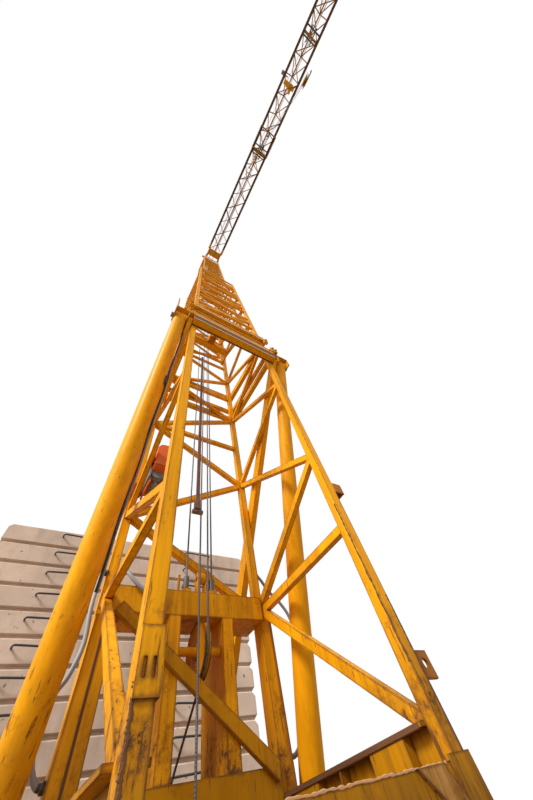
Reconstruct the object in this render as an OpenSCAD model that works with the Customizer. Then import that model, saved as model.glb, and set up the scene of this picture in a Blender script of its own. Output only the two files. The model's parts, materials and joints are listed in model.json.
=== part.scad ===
// Self-erecting tower crane: a telescopic lattice mast on a slewing platform,
// propped by two round struts and two rear struts, with a concrete ballast
// stack behind it and a triangular trolley jib at its head.
// The origin is on the slewing axis at ground level, +Z is up, +Y points back
// to the ballast and the jib points along -Y.

/* [Outer mast] */
// Spacing of the mast legs, centre to centre
mast_w = 1200; // [1100:10:1260]
// Distance from the slewing axis forward to the mast's centre line
mast_offset = 900; // [850:10:950]
// Width of a mast leg
leg_w = 66; // [56:1:76]
// Height of one lattice bay
mast_bay = 1410; // [1380:10:1420]
// Height of the rear crossbeam's centre line, where the lattice starts
lattice_z = 2460; // [2450:5:2470]
// Top of the outer mast
mast_top = 12650; // [12500:10:12800]
// Width of a mast brace
brace_w = 58; // [46:1:66]
// Thickness of a mast brace
brace_t = 44; // [36:1:50]

/* [Inner mast] */
// Spacing of the inner mast's legs, centre to centre
inner_w = 888; // [840:4:920]
// Width of an inner mast leg
inner_leg = 56; // [46:1:62]
// Height of one inner mast bay
inner_bay = 1180; // [1100:10:1240]
// Foot of the inner mast when it is fully raised
inner_foot = 7250; // [7000:10:7400]
// Width and thickness of an inner mast brace
inner_brace = 42; // [34:1:48]
// Travel of the inner mast down into the outer one
telescope_travel = 3000; // [2400:50:3100]

/* [Jib] */
// Height of the jib's bottom chords
jib_z = 21770; // [21600:10:22000]
// Spacing of the two bottom chords
chord_gap = 744; // [680:4:800]
// Height of the top chord above the bottom chords
jib_h = 840; // [760:10:900]
// Length of the root section, from its pins to the first fold joint
root_len = 6050; // [5900:10:6200]
// Length of each of the three outer sections
section_len = 5196; // [5100:6:5300]
// Width of a bottom chord
chord_w = 64; // [56:1:72]
// Diameter of the top chord
top_chord_d = 70; // [60:1:80]
// Width of a jib brace
jib_brace = 34; // [28:1:40]

/* [Struts] */
// Diameter of the two round front struts
tube_d = 160; // [140:1:168]
// Height of the pin that carries the struts at the mast collar
strut_head_z = 5270; // [5230:5:5290]
// Distance of the round struts from the middle plane
tube_x = 794; // [790:1:800]
// Depth of the flat rear struts
rear_strut_w = 120; // [100:1:130]
// Thickness of the flat rear struts
rear_strut_t = 60; // [50:1:62]

/* [Platform] */
// Top of the platform's side beams
deck_z = 1575; // [1540:5:1590]
// Depth of the side beams
side_beam_h = 330; // [300:5:350]
// Back end of the side beams, behind the slewing axis
platform_back = 2430; // [2420:10:2600]

/* [Ballast] */
// Number of ballast blocks
block_count = 11; // [8:1:12]
// Height of one ballast block
block_h = 227; // [200:1:230]
// Width of a ballast block
block_w = 3160; // [2900:20:3200]
// Depth of a ballast block
block_depth = 1040; // [900:20:1060]
// Front face of the ballast, behind the slewing axis
ballast_y = 1370; // [1300:10:1380]

/* [Undercarriage] */
// Distance between the outrigger feet, both ways
foot_track = 4200; // [4000:50:4600]
// Width of a foot plate
foot_plate_w = 520; // [440:10:600]
// Diameter of a jack spindle
spindle_d = 76; // [60:1:84]
// Outer diameter of the slewing ring
ring_d = 1280; // [1200:10:1300]

/* [Trolley and hook] */
// Distance of the trolley from the slewing axis
trolley_reach = 8050; // [7800:10:8200]
// Height of the hook's throat
hook_z = 13650; // [13000:10:14500]
// Diameter of the hoist rope
rope_d = 14; // [10:1:16]

/* [Hidden] */

// Clearance of pins in their eyes and of parts that seat on each other
seat = 0.3;
half = mast_w / 2;
leg = leg_w / 2;
// Planes of the mast: front legs, rear legs and centre
y_mid = -mast_offset;
y_front = y_mid - half;
y_rear = y_mid + half;
inner_half = inner_w / 2;
rise = mast_bay / 2;
inner_rise = inner_bay / 2;

function unit_angle(a, b) = atan2(b[1] - a[1], b[0] - a[0]);
function span(a, b) = norm([b[0] - a[0], b[1] - a[1]]);
function even(i) = i % 2 == 0;

// A flat bar of width w between two points of a plane
module bar2d(a, b, w) {
    translate(a) rotate(unit_angle(a, b)) translate([0, -w / 2]) square([span(a, b), w]);
}

// Turns a drawing of (y, z) into a plate of thickness t centred on the plane x
module in_side_plane(x, t) {
    translate([x, 0, 0]) rotate([90, 0, 90]) linear_extrude(height = t, center = true) children();
}

// Turns a drawing of (x, z) into a plate of thickness t centred on the plane y
module in_cross_plane(y, t) {
    translate([0, y, 0]) rotate([90, 0, 0]) linear_extrude(height = t, center = true) children();
}

// Turns a drawing of (x, y) into a plate between two heights
module in_level_plane(z0, z1) {
    translate([0, 0, z0]) linear_extrude(height = z1 - z0) children();
}

// A block given by its lowest and highest corners
module block(low, high) {
    translate(low) cube(high - low);
}

// A round bar along X
module bar_x(x0, x1, y, z, d) {
    translate([x0, y, z]) rotate([0, 90, 0]) cylinder(h = x1 - x0, d = d, $fn = 48);
}

// A round bar along Z
module bar_z(x, y, z0, z1, d) {
    translate([x, y, z0]) cylinder(h = z1 - z0, d = d, $fn = 48);
}

// Zigzag of braces between the lines u = -w/2 and u = w/2, starting at z0 on the side given
module zigzag(w, z0, z1, step, first, bar) {
    count = ceil((z1 - z0) / step);
    for (i = [0 : count - 1]) {
        s = even(i) ? first : -first;
        bar2d([s * w / 2, z0 + i * step], [-s * w / 2, z0 + (i + 1) * step], bar);
    }
}

// Undercarriage

chassis_low = 560;
chassis_top = 925;
chassis_half = 800;
arm_w = 200;
arm_top = 820;
arm_low = 600;
arm_start = 1130;
foot_r = foot_track / sqrt(2);
sleeve_d = 190;

module chassis_frame() color("goldenrod") {
    difference() {
        in_level_plane(chassis_low, chassis_top - 25) {
            difference() {
                polygon([
                    [-chassis_half, -chassis_half + 300], [-chassis_half + 300, -chassis_half],
                    [chassis_half - 300, -chassis_half], [chassis_half, -chassis_half + 300],
                    [chassis_half, chassis_half - 300], [chassis_half - 300, chassis_half],
                    [-chassis_half + 300, chassis_half], [-chassis_half, chassis_half - 300]
                ]);
                circle(d = 900, $fn = 64);
            }
        }
        // Recesses that make the four side faces read as channels
        for (a = [0 : 90 : 270]) rotate(a) block([-420, -chassis_half - 1, chassis_low + 60],
            [420, -chassis_half + 70, chassis_top - 85]);
    }
    translate([0, 0, chassis_top - 25]) difference() {
        cylinder(h = 25, d = ring_d + 60, $fn = 96);
        translate([0, 0, -1]) cylinder(h = 27, d = ring_d - 320, $fn = 96);
    }
    // Corner boxes that hold the outrigger arms
    for (a = [45 : 90 : 315]) rotate(a) difference() {
        block([880, -arm_w / 2 - 30, arm_low - 40], [arm_start + 120, arm_w / 2 + 30, arm_top + 40]);
        block([arm_start - 180, -arm_w / 2 - seat, arm_low - seat],
            [arm_start + 121, arm_w / 2 + seat, arm_top + seat]);
    }
}

module outrigger_arms() color("goldenrod") {
    for (a = [45 : 90 : 315]) rotate(a) {
        difference() {
            union() {
                block([arm_start - 180 + seat, -arm_w / 2, arm_low], [foot_r, arm_w / 2, arm_top]);
                translate([foot_r, 0, arm_low - 60])
                    cylinder(h = arm_top - arm_low + 120, d = sleeve_d, $fn = 48);
            }
            translate([foot_r, 0, arm_low - 61])
                cylinder(h = arm_top - arm_low + 122, d = spindle_d + 2 * seat, $fn = 48);
        }
    }
}

module jack_spindles() color("dimgray") {
    for (a = [45 : 90 : 315]) rotate(a) translate([foot_r, 0, 0]) {
        translate([0, 0, 40 + seat]) cylinder(h = arm_top + 180, d = spindle_d, $fn = 48);
        translate([0, 0, arm_low - 60 - seat - 50]) cylinder(h = 50, d = 150, $fn = 6);
        translate([0, 0, arm_top + 170]) rotate([90, 0, 0])
            cylinder(h = 300, d = 26, center = true, $fn = 24);
    }
}

module foot_plates() color("dimgray") {
    for (a = [45 : 90 : 315]) rotate(a) translate([foot_r, 0, 0]) {
        rotate(-a) block([-foot_plate_w / 2, -foot_plate_w / 2, 0],
            [foot_plate_w / 2, foot_plate_w / 2, 40]);
        difference() {
            translate([0, 0, 39]) cylinder(h = 51, d1 = 190, d2 = 130, $fn = 48);
            translate([0, 0, 40]) cylinder(h = 51, d = spindle_d + 2, $fn = 48);
        }
    }
}

module ring_half(z0, z1) {
    bolts = 24;
    difference() {
        in_level_plane(z0, z1) difference() {
            circle(d = ring_d, $fn = 96);
            circle(d = ring_d - 260, $fn = 96);
        }
        for (i = [0 : bolts / 2 - 1]) rotate(i * 360 / (bolts / 2))
            translate([ring_d / 2 - 45, 0, z0 - 1]) cylinder(h = z1 - z0 + 2, d = 26, $fn = 24);
    }
}

ring_mid = 985;
ring_top = 1045;

module slewing_ring_lower() color("gray") ring_half(chassis_top, ring_mid);

module slewing_ring_upper() color("gray") ring_half(ring_mid + seat, ring_top);

// Platform

beam_flange = 120;
beam_web = 14;
flange_t = 16;
beam_low = deck_z - side_beam_h;
sill_low = ring_top + 60;
tube_foot_z = 1500;
strut_head_y = y_front - 23;
tube_tilt = 17.7;
tube_foot_y = strut_head_y + (strut_head_z - tube_foot_z) * tan(tube_tilt);
rear_foot_y = 760;
rear_foot_z = 1700;
tube_in = tube_x - tube_d / 2;
tube_out = tube_x + tube_d / 2;
rear_strut_x = tube_in - 12 - seat * 2 - rear_strut_t / 2 - 1;
post_front = y_rear - 120;
post_back = y_rear + 231;
back_beam_top = 1670;
eye_d = 70;

box_reach = 55;
front_beam_top = 1460;

// One side beam, an I section with stiffeners
module side_beam(s) {
    x = s * half;
    in_level_plane(deck_z - flange_t, deck_z)
        translate([x - beam_flange / 2, y_front + leg]) square([beam_flange, platform_back - y_front - leg]);
    in_level_plane(beam_low, beam_low + flange_t)
        translate([x - beam_flange / 2, y_front + leg]) square([beam_flange, platform_back - y_front - leg]);
    block([x - beam_web / 2, y_front + leg, beam_low], [x + beam_web / 2, platform_back, deck_z]);
    for (i = [1 : 6]) block([x - beam_flange / 2 + 4, y_front + leg + i * 560, beam_low + 1],
        [x + beam_flange / 2 - 4, y_front + leg + i * 560 + 12, deck_z - 1]);
    // Box stiffeners between the flanges, on the inner side
    for (y = [y_front + 158, y_front + 779]) block([min(x, x - s * box_reach), y, beam_low + 1],
        [max(x, x - s * box_reach), y + 221, deck_z - 1]);
}

module platform_frame() color("goldenrod") difference() {
    platform_solid();
    for (s = [-1, 1]) {
        bar_x(s * tube_x - tube_d, s * tube_x + tube_d, tube_foot[0], tube_foot[1], eye_d + 2 * seat);
        bar_x(s * rear_strut_x - rear_strut_t, s * rear_strut_x + rear_strut_t,
            rear_foot[0], rear_foot[1], eye_d + 2 * seat);
    }
}

// Plates round the foot of one front leg, at its front and outer side
module end_plates(s) mirror([s > 0 ? 0 : 1, 0, 0]) {
    face = y_front - leg;
    side = half + leg;
    block([half - 78, face - 12, beam_low], [side + 12, face - seat, front_beam_top + 14]);
    block([half - 76, face - 1, beam_low + 20], [half - leg - 2, face + 1, front_beam_top - 10]);
    block([side + seat, face - 11, beam_low], [side + 12, y_front + 220, front_beam_top - 30]);
}

module platform_solid() {
    for (s = [-1, 1]) {
        side_beam(s);
        // Bracket of the round strut's foot, outboard of the side beam
        for (x = [tube_in - 13, tube_out + 1])
            in_side_plane(s * (x + 6), 12) polygon([
                [tube_foot_y - 200, beam_low + 40], [tube_foot_y + 200, beam_low + 40],
                [tube_foot_y + 75, tube_foot_z + 70], [tube_foot_y - 75, tube_foot_z + 70]
            ]);
        block([min(s * half, s * (tube_out + 13)), tube_foot_y - 200, beam_low + 20],
            [max(s * half, s * (tube_out + 13)), tube_foot_y + 200, beam_low + 60]);
        // Pedestal of the rear strut
        block([min(s * (half - 60), s * (rear_strut_x + 50)), rear_foot_y - 110, deck_z - 1],
            [max(s * (half - 60), s * (rear_strut_x + 50)), rear_foot_y + 110, deck_z + 20]);
        for (x = [rear_strut_x - rear_strut_t / 2 - 15, rear_strut_x + rear_strut_t / 2 + 1])
            in_side_plane(s * (x + 7), 14) polygon([
                [rear_foot_y - 100, deck_z + 10], [rear_foot_y + 100, deck_z + 10],
                [rear_foot_y + 60, rear_foot_z + 60], [rear_foot_y - 60, rear_foot_z + 60]
            ]);
    }
    // Front beam between the front legs, and the sill that the legs stand on
    block([-half + leg, y_front - leg, 1330], [half - leg, y_front + leg, front_beam_top]);
    // Corner gussets between the front beam and the side beams, and the corner plates outside
    for (s = [-1, 1]) {
        in_level_plane(1400, 1414) polygon([
            [s * (half - leg), y_front + leg - 1], [s * (half - 300), y_front + leg - 1],
            [s * (half - 6), y_front + leg + 260], [s * (half - 6), y_front + leg + seat],
            [s * (half - leg), y_front + leg + seat]
        ]);
        end_plates(s);
    }
    block([-half - 110, y_front - 110, sill_low], [half + 110, y_front + 110, beam_low]);
    block([-half - 60, platform_back - 180, sill_low], [half + 60, platform_back, beam_low]);
    // Cross beams over the slewing ring
    for (y = [-560, 440]) block([-half - 60, y, sill_low], [half + 60, y + 120, beam_low]);
    for (x = [-340, 220]) block([x, y_front + 100, sill_low], [x + 120, platform_back - 170, beam_low - 20]);
    // Turntable plate
    in_level_plane(ring_top, sill_low) difference() {
        circle(d = ring_d, $fn = 96);
        circle(d = ring_d - 400, $fn = 96);
    }
    // Back beam between the rear legs
    block([-half + leg, post_front, deck_z - 150], [half - leg, post_back, deck_z]);
    block([-half + heavy_left + seat, post_front, deck_z - 1], [half - leg, post_back, back_beam_top]);
}

winch_y = 470;
winch_z = deck_z - 50;
drum_d = 260;

module hoist_winch() color("slategray") {
    block([-430, winch_y - 220, beam_low], [430, winch_y + 220, beam_low + 40]);
    for (x = [-400, 360]) block([x, winch_y - 160, beam_low + 39], [x + 40, winch_y + 160, winch_z + 150]);
    bar_x(-380, 380, winch_y, winch_z, drum_d);
    for (x = [-350, 310]) bar_x(x, x + 30, winch_y, winch_z, 400);
    bar_x(399, 430, winch_y, winch_z, 200);
    bar_x(-520, -390, winch_y, winch_z, 190);
}

module control_cabinet() color("goldenrod") {
    block([-460, 900, beam_low - 20], [-110, 1300, deck_z + 20]);
}

// Ballast: a stack of chamfered concrete blocks

joint_h = 26;
joint_in = 34;

module ballast_blocks() color("silver") {
    for (i = [0 : block_count - 1]) translate([-70, ballast_y, deck_z + i * (block_h + seat)])
    intersection() {
        in_cross_plane(block_depth / 2, block_depth) polygon([
            [-block_w / 2, 25], [-block_w / 2 + 25, 0], [block_w / 2 - 25, 0], [block_w / 2, 25],
            [block_w / 2, block_h - 45], [block_w / 2 - 45, block_h],
            [-block_w / 2 + 45, block_h], [-block_w / 2, block_h - 45]
        ]);
        // A recess along the foot of the front and back faces leaves a shadow joint
        in_side_plane(0, block_w) polygon([
            [joint_in, 0], [joint_in, joint_h], [0, joint_h + 10], [0, block_h - 12], [12, block_h],
            [block_depth - 12, block_h], [block_depth, block_h - 12], [block_depth, joint_h + 10],
            [block_depth - joint_in, joint_h], [block_depth - joint_in, 0]
        ]);
    }
}

// Outer mast

foot_front = beam_low;
foot_rear = deck_z;
heavy_front = 80;
heavy_left = leg + 62;
heavy_right = leg + 27;
base_node = [1490, 1530];

// One side of the mast, with its two legs and the braces between them
module mast_side(s) {
    heavy_in = -leg;
    heavy_out = s > 0 ? heavy_right : heavy_left;
    heavy_top = s > 0 ? crossbeam_top : crossbeam_low - seat;
    difference() {
        union() {
            block([s * half - leg, y_front - leg, foot_front], [s * half + leg, y_front + leg, mast_top]);
            block([s * half - leg, y_rear - leg, heavy_top - 1], [s * half + leg, y_rear + leg, mast_top]);
            // The rear legs are heavier below the crossbeam
            block([min(s * half + heavy_in, s * half + heavy_out), y_rear - heavy_front, foot_rear],
                [max(s * half + heavy_in, s * half + heavy_out), y_rear + leg, heavy_top]);
            in_side_plane(s * half, brace_t) translate([y_mid, 0]) {
                zigzag(mast_w, lattice_z, mast_top - rise, rise, s, brace_w);
                intersection() {
                    bar2d([-half, base_node[s > 0 ? 1 : 0]], [half, lattice_z + 70], brace_w);
                    translate([-half, deck_z + seat]) square([mast_w, lattice_z + 200 - deck_z]);
                }
                bar2d([-half, lattice_z], [half, lattice_z], brace_w);
                bar2d([-half, mast_top - 50], [half, mast_top - 50], 90);
            }
            if (s > 0) {
                // Eye plate and a folded bracket on the outside of the front right leg
                in_cross_plane(y_front, 14) difference() {
                    translate([half + leg - 1, 1685]) square([118, 104]);
                    translate([half + leg + 76, 1740]) circle(d = 37, $fn = 32);
                }
                for (y = [y_front - 34, y_front + 22]) in_side_plane(half + leg + 44, 90) polygon([
                    [y, 2740], [y + 12, 2740], [y + 12, 2830], [y, 2830]
                ]);
                block([half + leg + 78, y_front - 33, 2740], [half + leg + 88, y_front + 33, 2830]);
            } else {
                // Lap plates with two slots round the foot of the front left leg
                in_cross_plane(y_front - leg - 4, 10) difference() {
                    translate([-half - leg, 1664]) square([leg_w + 9, 166]);
                    for (x = [-12, 16]) translate([-half + x, 1728]) upright_slot(12, 50);
                }
                in_side_plane(-half + leg + 4, 10)
                    translate([y_front - leg - 8, 1664]) square([leg_w, 166]);
            }
        }
    }
}

// An upright slot of width w and length h
module upright_slot(w, h) {
    square([w, h - w], center = true);
    for (s = [-1, 1]) translate([0, s * (h - w) / 2]) circle(d = w, $fn = 24);
}

module mast_left_side() color("orange") mast_side(-1);

module mast_right_side() color("orange") mast_side(1);

// Bars that lie between the legs of one cross face, above the height given
module face_bracing(y, z_low, first, clear_w) {
    in_cross_plane(y, brace_t) intersection() {
        union() {
            zigzag(mast_w, lattice_z, mast_top - rise, rise, first, brace_w);
            children();
        }
        translate([-clear_w / 2, z_low]) square([clear_w, mast_top - z_low]);
    }
}

crossbeam_low = lattice_z - 80;
crossbeam_top = lattice_z + 80;

module mast_rear_bracing() color("orange")
    face_bracing(y_rear, crossbeam_top, 1, mast_w - leg_w) {
        for (z = [lattice_z + 3 * rise : mast_bay : mast_top]) bar2d([-half, z], [half, z], brace_w);
        bar2d([-half, mast_top - 50], [half, mast_top - 50], 90);
    }

module mast_front_bracing() color("orange")
    face_bracing(y_front, collar_top, -1, mast_w - leg_w) {
        for (z = [collar_top + 40 : rise : mast_top]) bar2d([-half, z], [half, z], brace_w);
        bar2d([-half, mast_top - 50], [half, mast_top - 50], 90);
    }

module rear_crossbeam() color("orange") {
    difference() {
        union() {
            block([-half + leg, post_front, crossbeam_low], [half - leg, y_rear + leg, crossbeam_top]);
            // Bottom flange, wider towards the back
            block([-half + leg, post_front, crossbeam_low],
                [half - leg, y_rear + 150, crossbeam_low + 14]);
        }
        block([-half + leg + 12, post_front + 12, crossbeam_low + 14],
            [half - leg - 12, y_rear + leg - 12, crossbeam_top - 12]);
    }
    for (x = guy_x) block([x - 30, guy_y - 30, crossbeam_top - 1], [x + 30, guy_y + 30, crossbeam_top + 30]);
    // Guide roller and an upright threaded rod on the top
    for (x = [28, 92])
        block([x, y_rear - 95, crossbeam_top - 1], [x + 10, y_rear - 25, crossbeam_top + 175]);
    bar_x(20, 110, y_rear - 60, crossbeam_top + 130, 26);
    bar_x(38.5, 91.5, y_rear - 60, crossbeam_top + 130, 80);
    bar_z(-110, y_rear - 40, crossbeam_top - 1, crossbeam_top + 150, 20);
    bar_z(-110, y_rear - 40, crossbeam_top - 1, crossbeam_top + 24, 38);
}

post_x = [-185, 209];
post_w = 85;
sheave_r = 150;
sheave_w = 56;
axle_d = 50;
rope_x = 55;
sheave_y = y_rear - 60;
sheave_z = 2200;

module sheave_posts() color("orange") {
    for (x = post_x) block([x, post_front, back_beam_top], [x + post_w, post_back, crossbeam_low]);
    bar_x(post_x[0] + post_w - 1, post_x[1] + 1, sheave_y, sheave_z, axle_d);
}

// A rope sheave in the plane x. The rope's centre line runs at the radius r
module sheave(x, y, z, r, bore) {
    w = sheave_w / 2;
    in_r = r - rope_d / 2 - seat;
    out_r = r + rope_d;
    translate([x, y, z]) rotate([0, 90, 0]) rotate_extrude($fn = 64) polygon([
        [bore / 2, -w], [bore / 2 + 16, -w], [bore / 2 + 16, -w / 2], [in_r - 16, -w / 2],
        [out_r - 8, -w * 0.8], [out_r, -w * 0.8], [in_r, -rope_d / 2], [in_r, rope_d / 2],
        [out_r, w * 0.8], [out_r - 8, w * 0.8], [in_r - 16, w / 2], [bore / 2 + 16, w / 2],
        [bore / 2 + 16, w], [bore / 2, w]
    ]);
}

module rope_sheave() color("goldenrod") sheave(rope_x, sheave_y, sheave_z, sheave_r, axle_d + 2 * seat);

base_bar_t = 34;

module base_diagonal() color("orange") {
    in_cross_plane(post_front - base_bar_t / 2 - seat, base_bar_t)
        bar2d([-half + leg + 45, crossbeam_low + 20], [half - leg - 45, back_beam_top - 30], 70);
}

// Collar round the mast, which carries the heads of the struts

collar_low = strut_head_z + 110;
collar_top = 6240;
head_plate_in = tube_in - 13;
head_plate_out = tube_out + 1;

// Four bars round the mast, bolted together at the corners
module collar_ring(z0, z1, reach) {
    out = half + leg + reach;
    for (y = [y_front - leg - reach, y_rear + leg]) block([-out, y, z0], [out, y + reach, z1]);
    for (x = [-out, half + leg]) block([x, y_front - leg + seat, z0], [x + reach, y_rear + leg - seat, z1]);
}

module mast_collar() color("orange") {
    // Head beam across the front of the legs
    block([-half - leg - 3, y_front - leg - 100, strut_head_z - 70],
        [half + leg + 3, y_front - leg, collar_low + 21]);
    for (s = [-1, 1]) {
        for (x = [head_plate_in, head_plate_out]) in_side_plane(s * (x + 6), 12) difference() {
            translate([strut_head_y - 110, strut_head_z - 75]) square([170, 205]);
            translate([strut_head_y, strut_head_z]) circle(d = eye_d + 2 * seat, $fn = 48);
        }
        block([min(s * (half + leg), s * (tube_out + 13)), strut_head_y - 110, collar_low],
            [max(s * (half + leg), s * (tube_out + 13)), y_front - leg, collar_low + 21]);
    }
    collar_ring(collar_low + 20, collar_low + 110, 60);
    collar_ring(5640, 5720, 50);
    collar_ring(collar_top - 140, collar_top, 60);
    // Panel between the rings, with a light edge bar at its top and foot
    block([-half, y_front - leg - 14, collar_low + 60], [half, y_front - leg, collar_top - 20]);
    for (z = [5560, 5880]) block([-half, y_front - leg - 40, z], [half, y_front - leg - 13, z + 20]);
}

module mast_guide_frame() color("orange") {
    // Pads at the mast's mouth that guide the inner legs
    pad_in = inner_half + inner_leg / 2 + 0.5;
    pad_out = half - leg;
    for (sx = [-1, 1]) for (sy = [-1, 1]) translate([0, y_mid, 0]) {
        block([min(sx * pad_in, sx * pad_out), min(sy * 380, sy * 470), mast_top - 400],
            [max(sx * pad_in, sx * pad_out), max(sy * 380, sy * 470), mast_top - 200]);
    }
}

// Struts

// A strut between two pin eyes at (y, z), bored for its pins
module strut(x, w, foot, head) {
    a = unit_angle(foot, head);
    difference() {
        union() {
            children();
            for (p = [foot, head]) bar_x(x - w / 2, x + w / 2, p[0], p[1], 2 * eye_d);
        }
        for (p = [foot, head]) bar_x(x - w, x + w, p[0], p[1], eye_d + 2 * seat);
    }
}

tube_foot = [tube_foot_y, tube_foot_z];
tube_head = [strut_head_y, strut_head_z];
rear_foot = [rear_foot_y, rear_foot_z];

module strut_tube(s) {
    length = span(tube_foot, tube_head);
    strut(s * tube_x, tube_d, tube_foot, tube_head)
        translate([s * tube_x, tube_foot[0], tube_foot[1]]) rotate([tube_tilt, 0, 0])
            cylinder(h = length, d = tube_d, $fn = 64);
}

module strut_tubes() color("orange") {
    for (s = [-1, 1]) strut_tube(s);
}

module rear_strut(s) {
    strut(s * rear_strut_x, rear_strut_t, rear_foot, tube_head)
        in_side_plane(s * rear_strut_x, rear_strut_t) bar2d(rear_foot, tube_head, rear_strut_w);
}

module rear_struts() color("orange") {
    for (s = [-1, 1]) rear_strut(s);
}

module strut_pins() color("dimgray") {
    for (s = [-1, 1]) {
        x0 = half + leg + 3;
        translate([min(s * x0, s * (tube_out + 40)), 0, 0])
            bar_x(0, tube_out + 40 - x0, tube_head[0], tube_head[1], eye_d);
        translate([min(s * (tube_in - 14), s * (tube_out + 14)), 0, 0])
            bar_x(0, tube_d + 28, tube_foot[0], tube_foot[1], eye_d);
        translate([s * rear_strut_x - rear_strut_t / 2 - 1, 0, 0])
            bar_x(0, rear_strut_t + 2, rear_foot[0], rear_foot[1], eye_d);
    }
}

// Telescoping drive on the left side of the mast

motor_x = -half + brace_t / 2 + seat;
motor_y = y_rear - 330;
motor_z = 3330;

module telescope_motor() color("gray") {
    block([motor_x, motor_y - 90, motor_z - 70], [motor_x + 14, motor_y + 200, motor_z + 60]);
    translate([motor_x + 75, motor_y - 80, motor_z]) rotate([-90, 0, 0]) {
        cylinder(h = 230, d = 124, $fn = 48);
        translate([0, 0, 20]) cylinder(h = 24, d = 140, $fn = 48);
    }
    bar_z(motor_x + 75, motor_y - 20, motor_z - 110, motor_z, 40);
}

module motor_hood() color("orangered") difference() {
    hood_shape(0);
    hood_shape(4);
}

hood_w = 146;

// Outline of the hood, inset by the wall's thickness
module hood_shape(wall) {
    in_side_plane(motor_x + hood_w / 2, hood_w - 2 * wall) polygon([
        [motor_y - 120 + wall, motor_z + 66 - wall], [motor_y + 230 - wall, motor_z + 66 - wall],
        [motor_y + 230 - wall, motor_z + 190], [motor_y + 180 - wall, motor_z + 240 - wall],
        [motor_y - 60 + wall, motor_z + 240 - wall], [motor_y - 120 + wall, motor_z + 180]
    ]);
}

// Ropes inside the mast

rope_y = sheave_y - sheave_r;

// A rope of diameter d in the plane x between two points (y, z)
module rope_run(x, a, b, d) {
    translate([x, a[0], a[1]]) rotate([unit_angle(a, b) - 90, 0, 0])
        cylinder(h = span(a, b), d = d, $fn = 16);
}

// A rope bent round the centre c from one angle to another, 0 at the back and 90 at the top
module rope_arc(x, c, r, from, to) {
    translate([x, c[0], c[1]]) rotate([90, 0, 90]) rotate([0, 0, from])
        rotate_extrude(angle = to - from, $fn = 64) translate([r, 0]) circle(d = rope_d, $fn = 16);
}

module mast_ropes() color("dimgray") {
    bar_z(rope_x, rope_y, sheave_z, head_sheave_z, rope_d);
}

// Run of the hoist rope from the winch drum to the lower sheave, a common tangent of both
drum_r = drum_d / 2 + rope_d / 2 + seat;
lead_angle = unit_angle([sheave_y, sheave_z], [winch_y, winch_z])
    + asin((sheave_r - drum_r) / span([sheave_y, sheave_z], [winch_y, winch_z]));
lead_normal = [sin(lead_angle), -cos(lead_angle)];

module winch_rope() color("dimgray") {
    rope_arc(rope_x, [sheave_y, sheave_z], sheave_r, 180, 270 + lead_angle);
    rope_run(rope_x, [sheave_y, sheave_z] + sheave_r * lead_normal,
        [winch_y, winch_z] + drum_r * lead_normal, rope_d);
}

guy_x = [-64, 149];
guy_y = y_rear - 75;

// A second rope on the front side, from the platform's cross beam to the tower head
front_rope_x = -15;
front_rope_y = -520;

module front_rope() color("dimgray") {
    bar_z(front_rope_x, front_rope_y, beam_low + seat, beam_low + 60, 40);
    bar_z(front_rope_x, front_rope_y, beam_low + 59, front_anchor_z, rope_d);
}

module rear_guy_lower() color("dimgray") {
    for (x = guy_x) {
        bar_z(x, guy_y, crossbeam_top + 120, guy_sheave_z, rope_d);
        bar_z(x, guy_y, crossbeam_top + 30, crossbeam_top + 121, 44);
    }
}

// Inner mast

inner_top = jib_z - 500;

module inner_side(s) {
    for (y = [y_mid - inner_half, y_mid + inner_half])
        block([s * inner_half - inner_leg / 2, y - inner_leg / 2, inner_foot],
            [s * inner_half + inner_leg / 2, y + inner_leg / 2, inner_top]);
    in_side_plane(s * inner_half, inner_brace - 8) translate([y_mid, 0]) {
        zigzag(inner_w, inner_foot + 60, inner_top - inner_rise, inner_rise, s, inner_brace);
        for (z = [inner_foot + 60, inner_top - 40]) bar2d([-inner_half, z], [inner_half, z], inner_brace);
    }
}

module inner_left_side() color("orange") inner_side(-1);

module inner_right_side() color("orange") inner_side(1);

module inner_face(y, first) {
    clear_w = inner_w - inner_leg;
    in_cross_plane(y, inner_brace - 8) intersection() {
        union() {
            zigzag(inner_w, inner_foot + 60, inner_top - inner_rise, inner_rise, first, inner_brace);
            for (z = [inner_foot + 60 : inner_rise : inner_top])
                bar2d([-inner_half, z], [inner_half, z], inner_brace);
        }
        translate([-clear_w / 2, inner_foot]) square([clear_w, inner_top - inner_foot]);
    }
}

module inner_face_bracing() color("orange") {
    for (s = [-1, 1]) inner_face(y_mid + s * inner_half, s);
}

// Foot of the inner mast, with the sheave of the telescoping rope
module telescope_block() color("goldenrod") {
    z = inner_foot + 60;
    reach = inner_half - (inner_brace - 8) / 2;
    difference() {
        block([-reach, y_mid + 120, z - 70], [reach, y_mid + 240, z + 70]);
        block([-reach - 1, y_mid + 132, z - 58], [reach + 1, y_mid + 241, z + 58]);
    }
    for (x = [-70, 50]) in_side_plane(x + 10, 20) polygon([
        [y_mid + 121, z + 60], [y_mid + 121, z - 60], [y_mid + 60, z - 130],
        [y_mid - 60, z - 130], [y_mid - 60, z + 20]
    ]);
    bar_x(-70, 70, y_mid, z - 60, 40);
    sheave(0, y_mid, z - 60, 110, 38);
}

// Tower head

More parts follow.
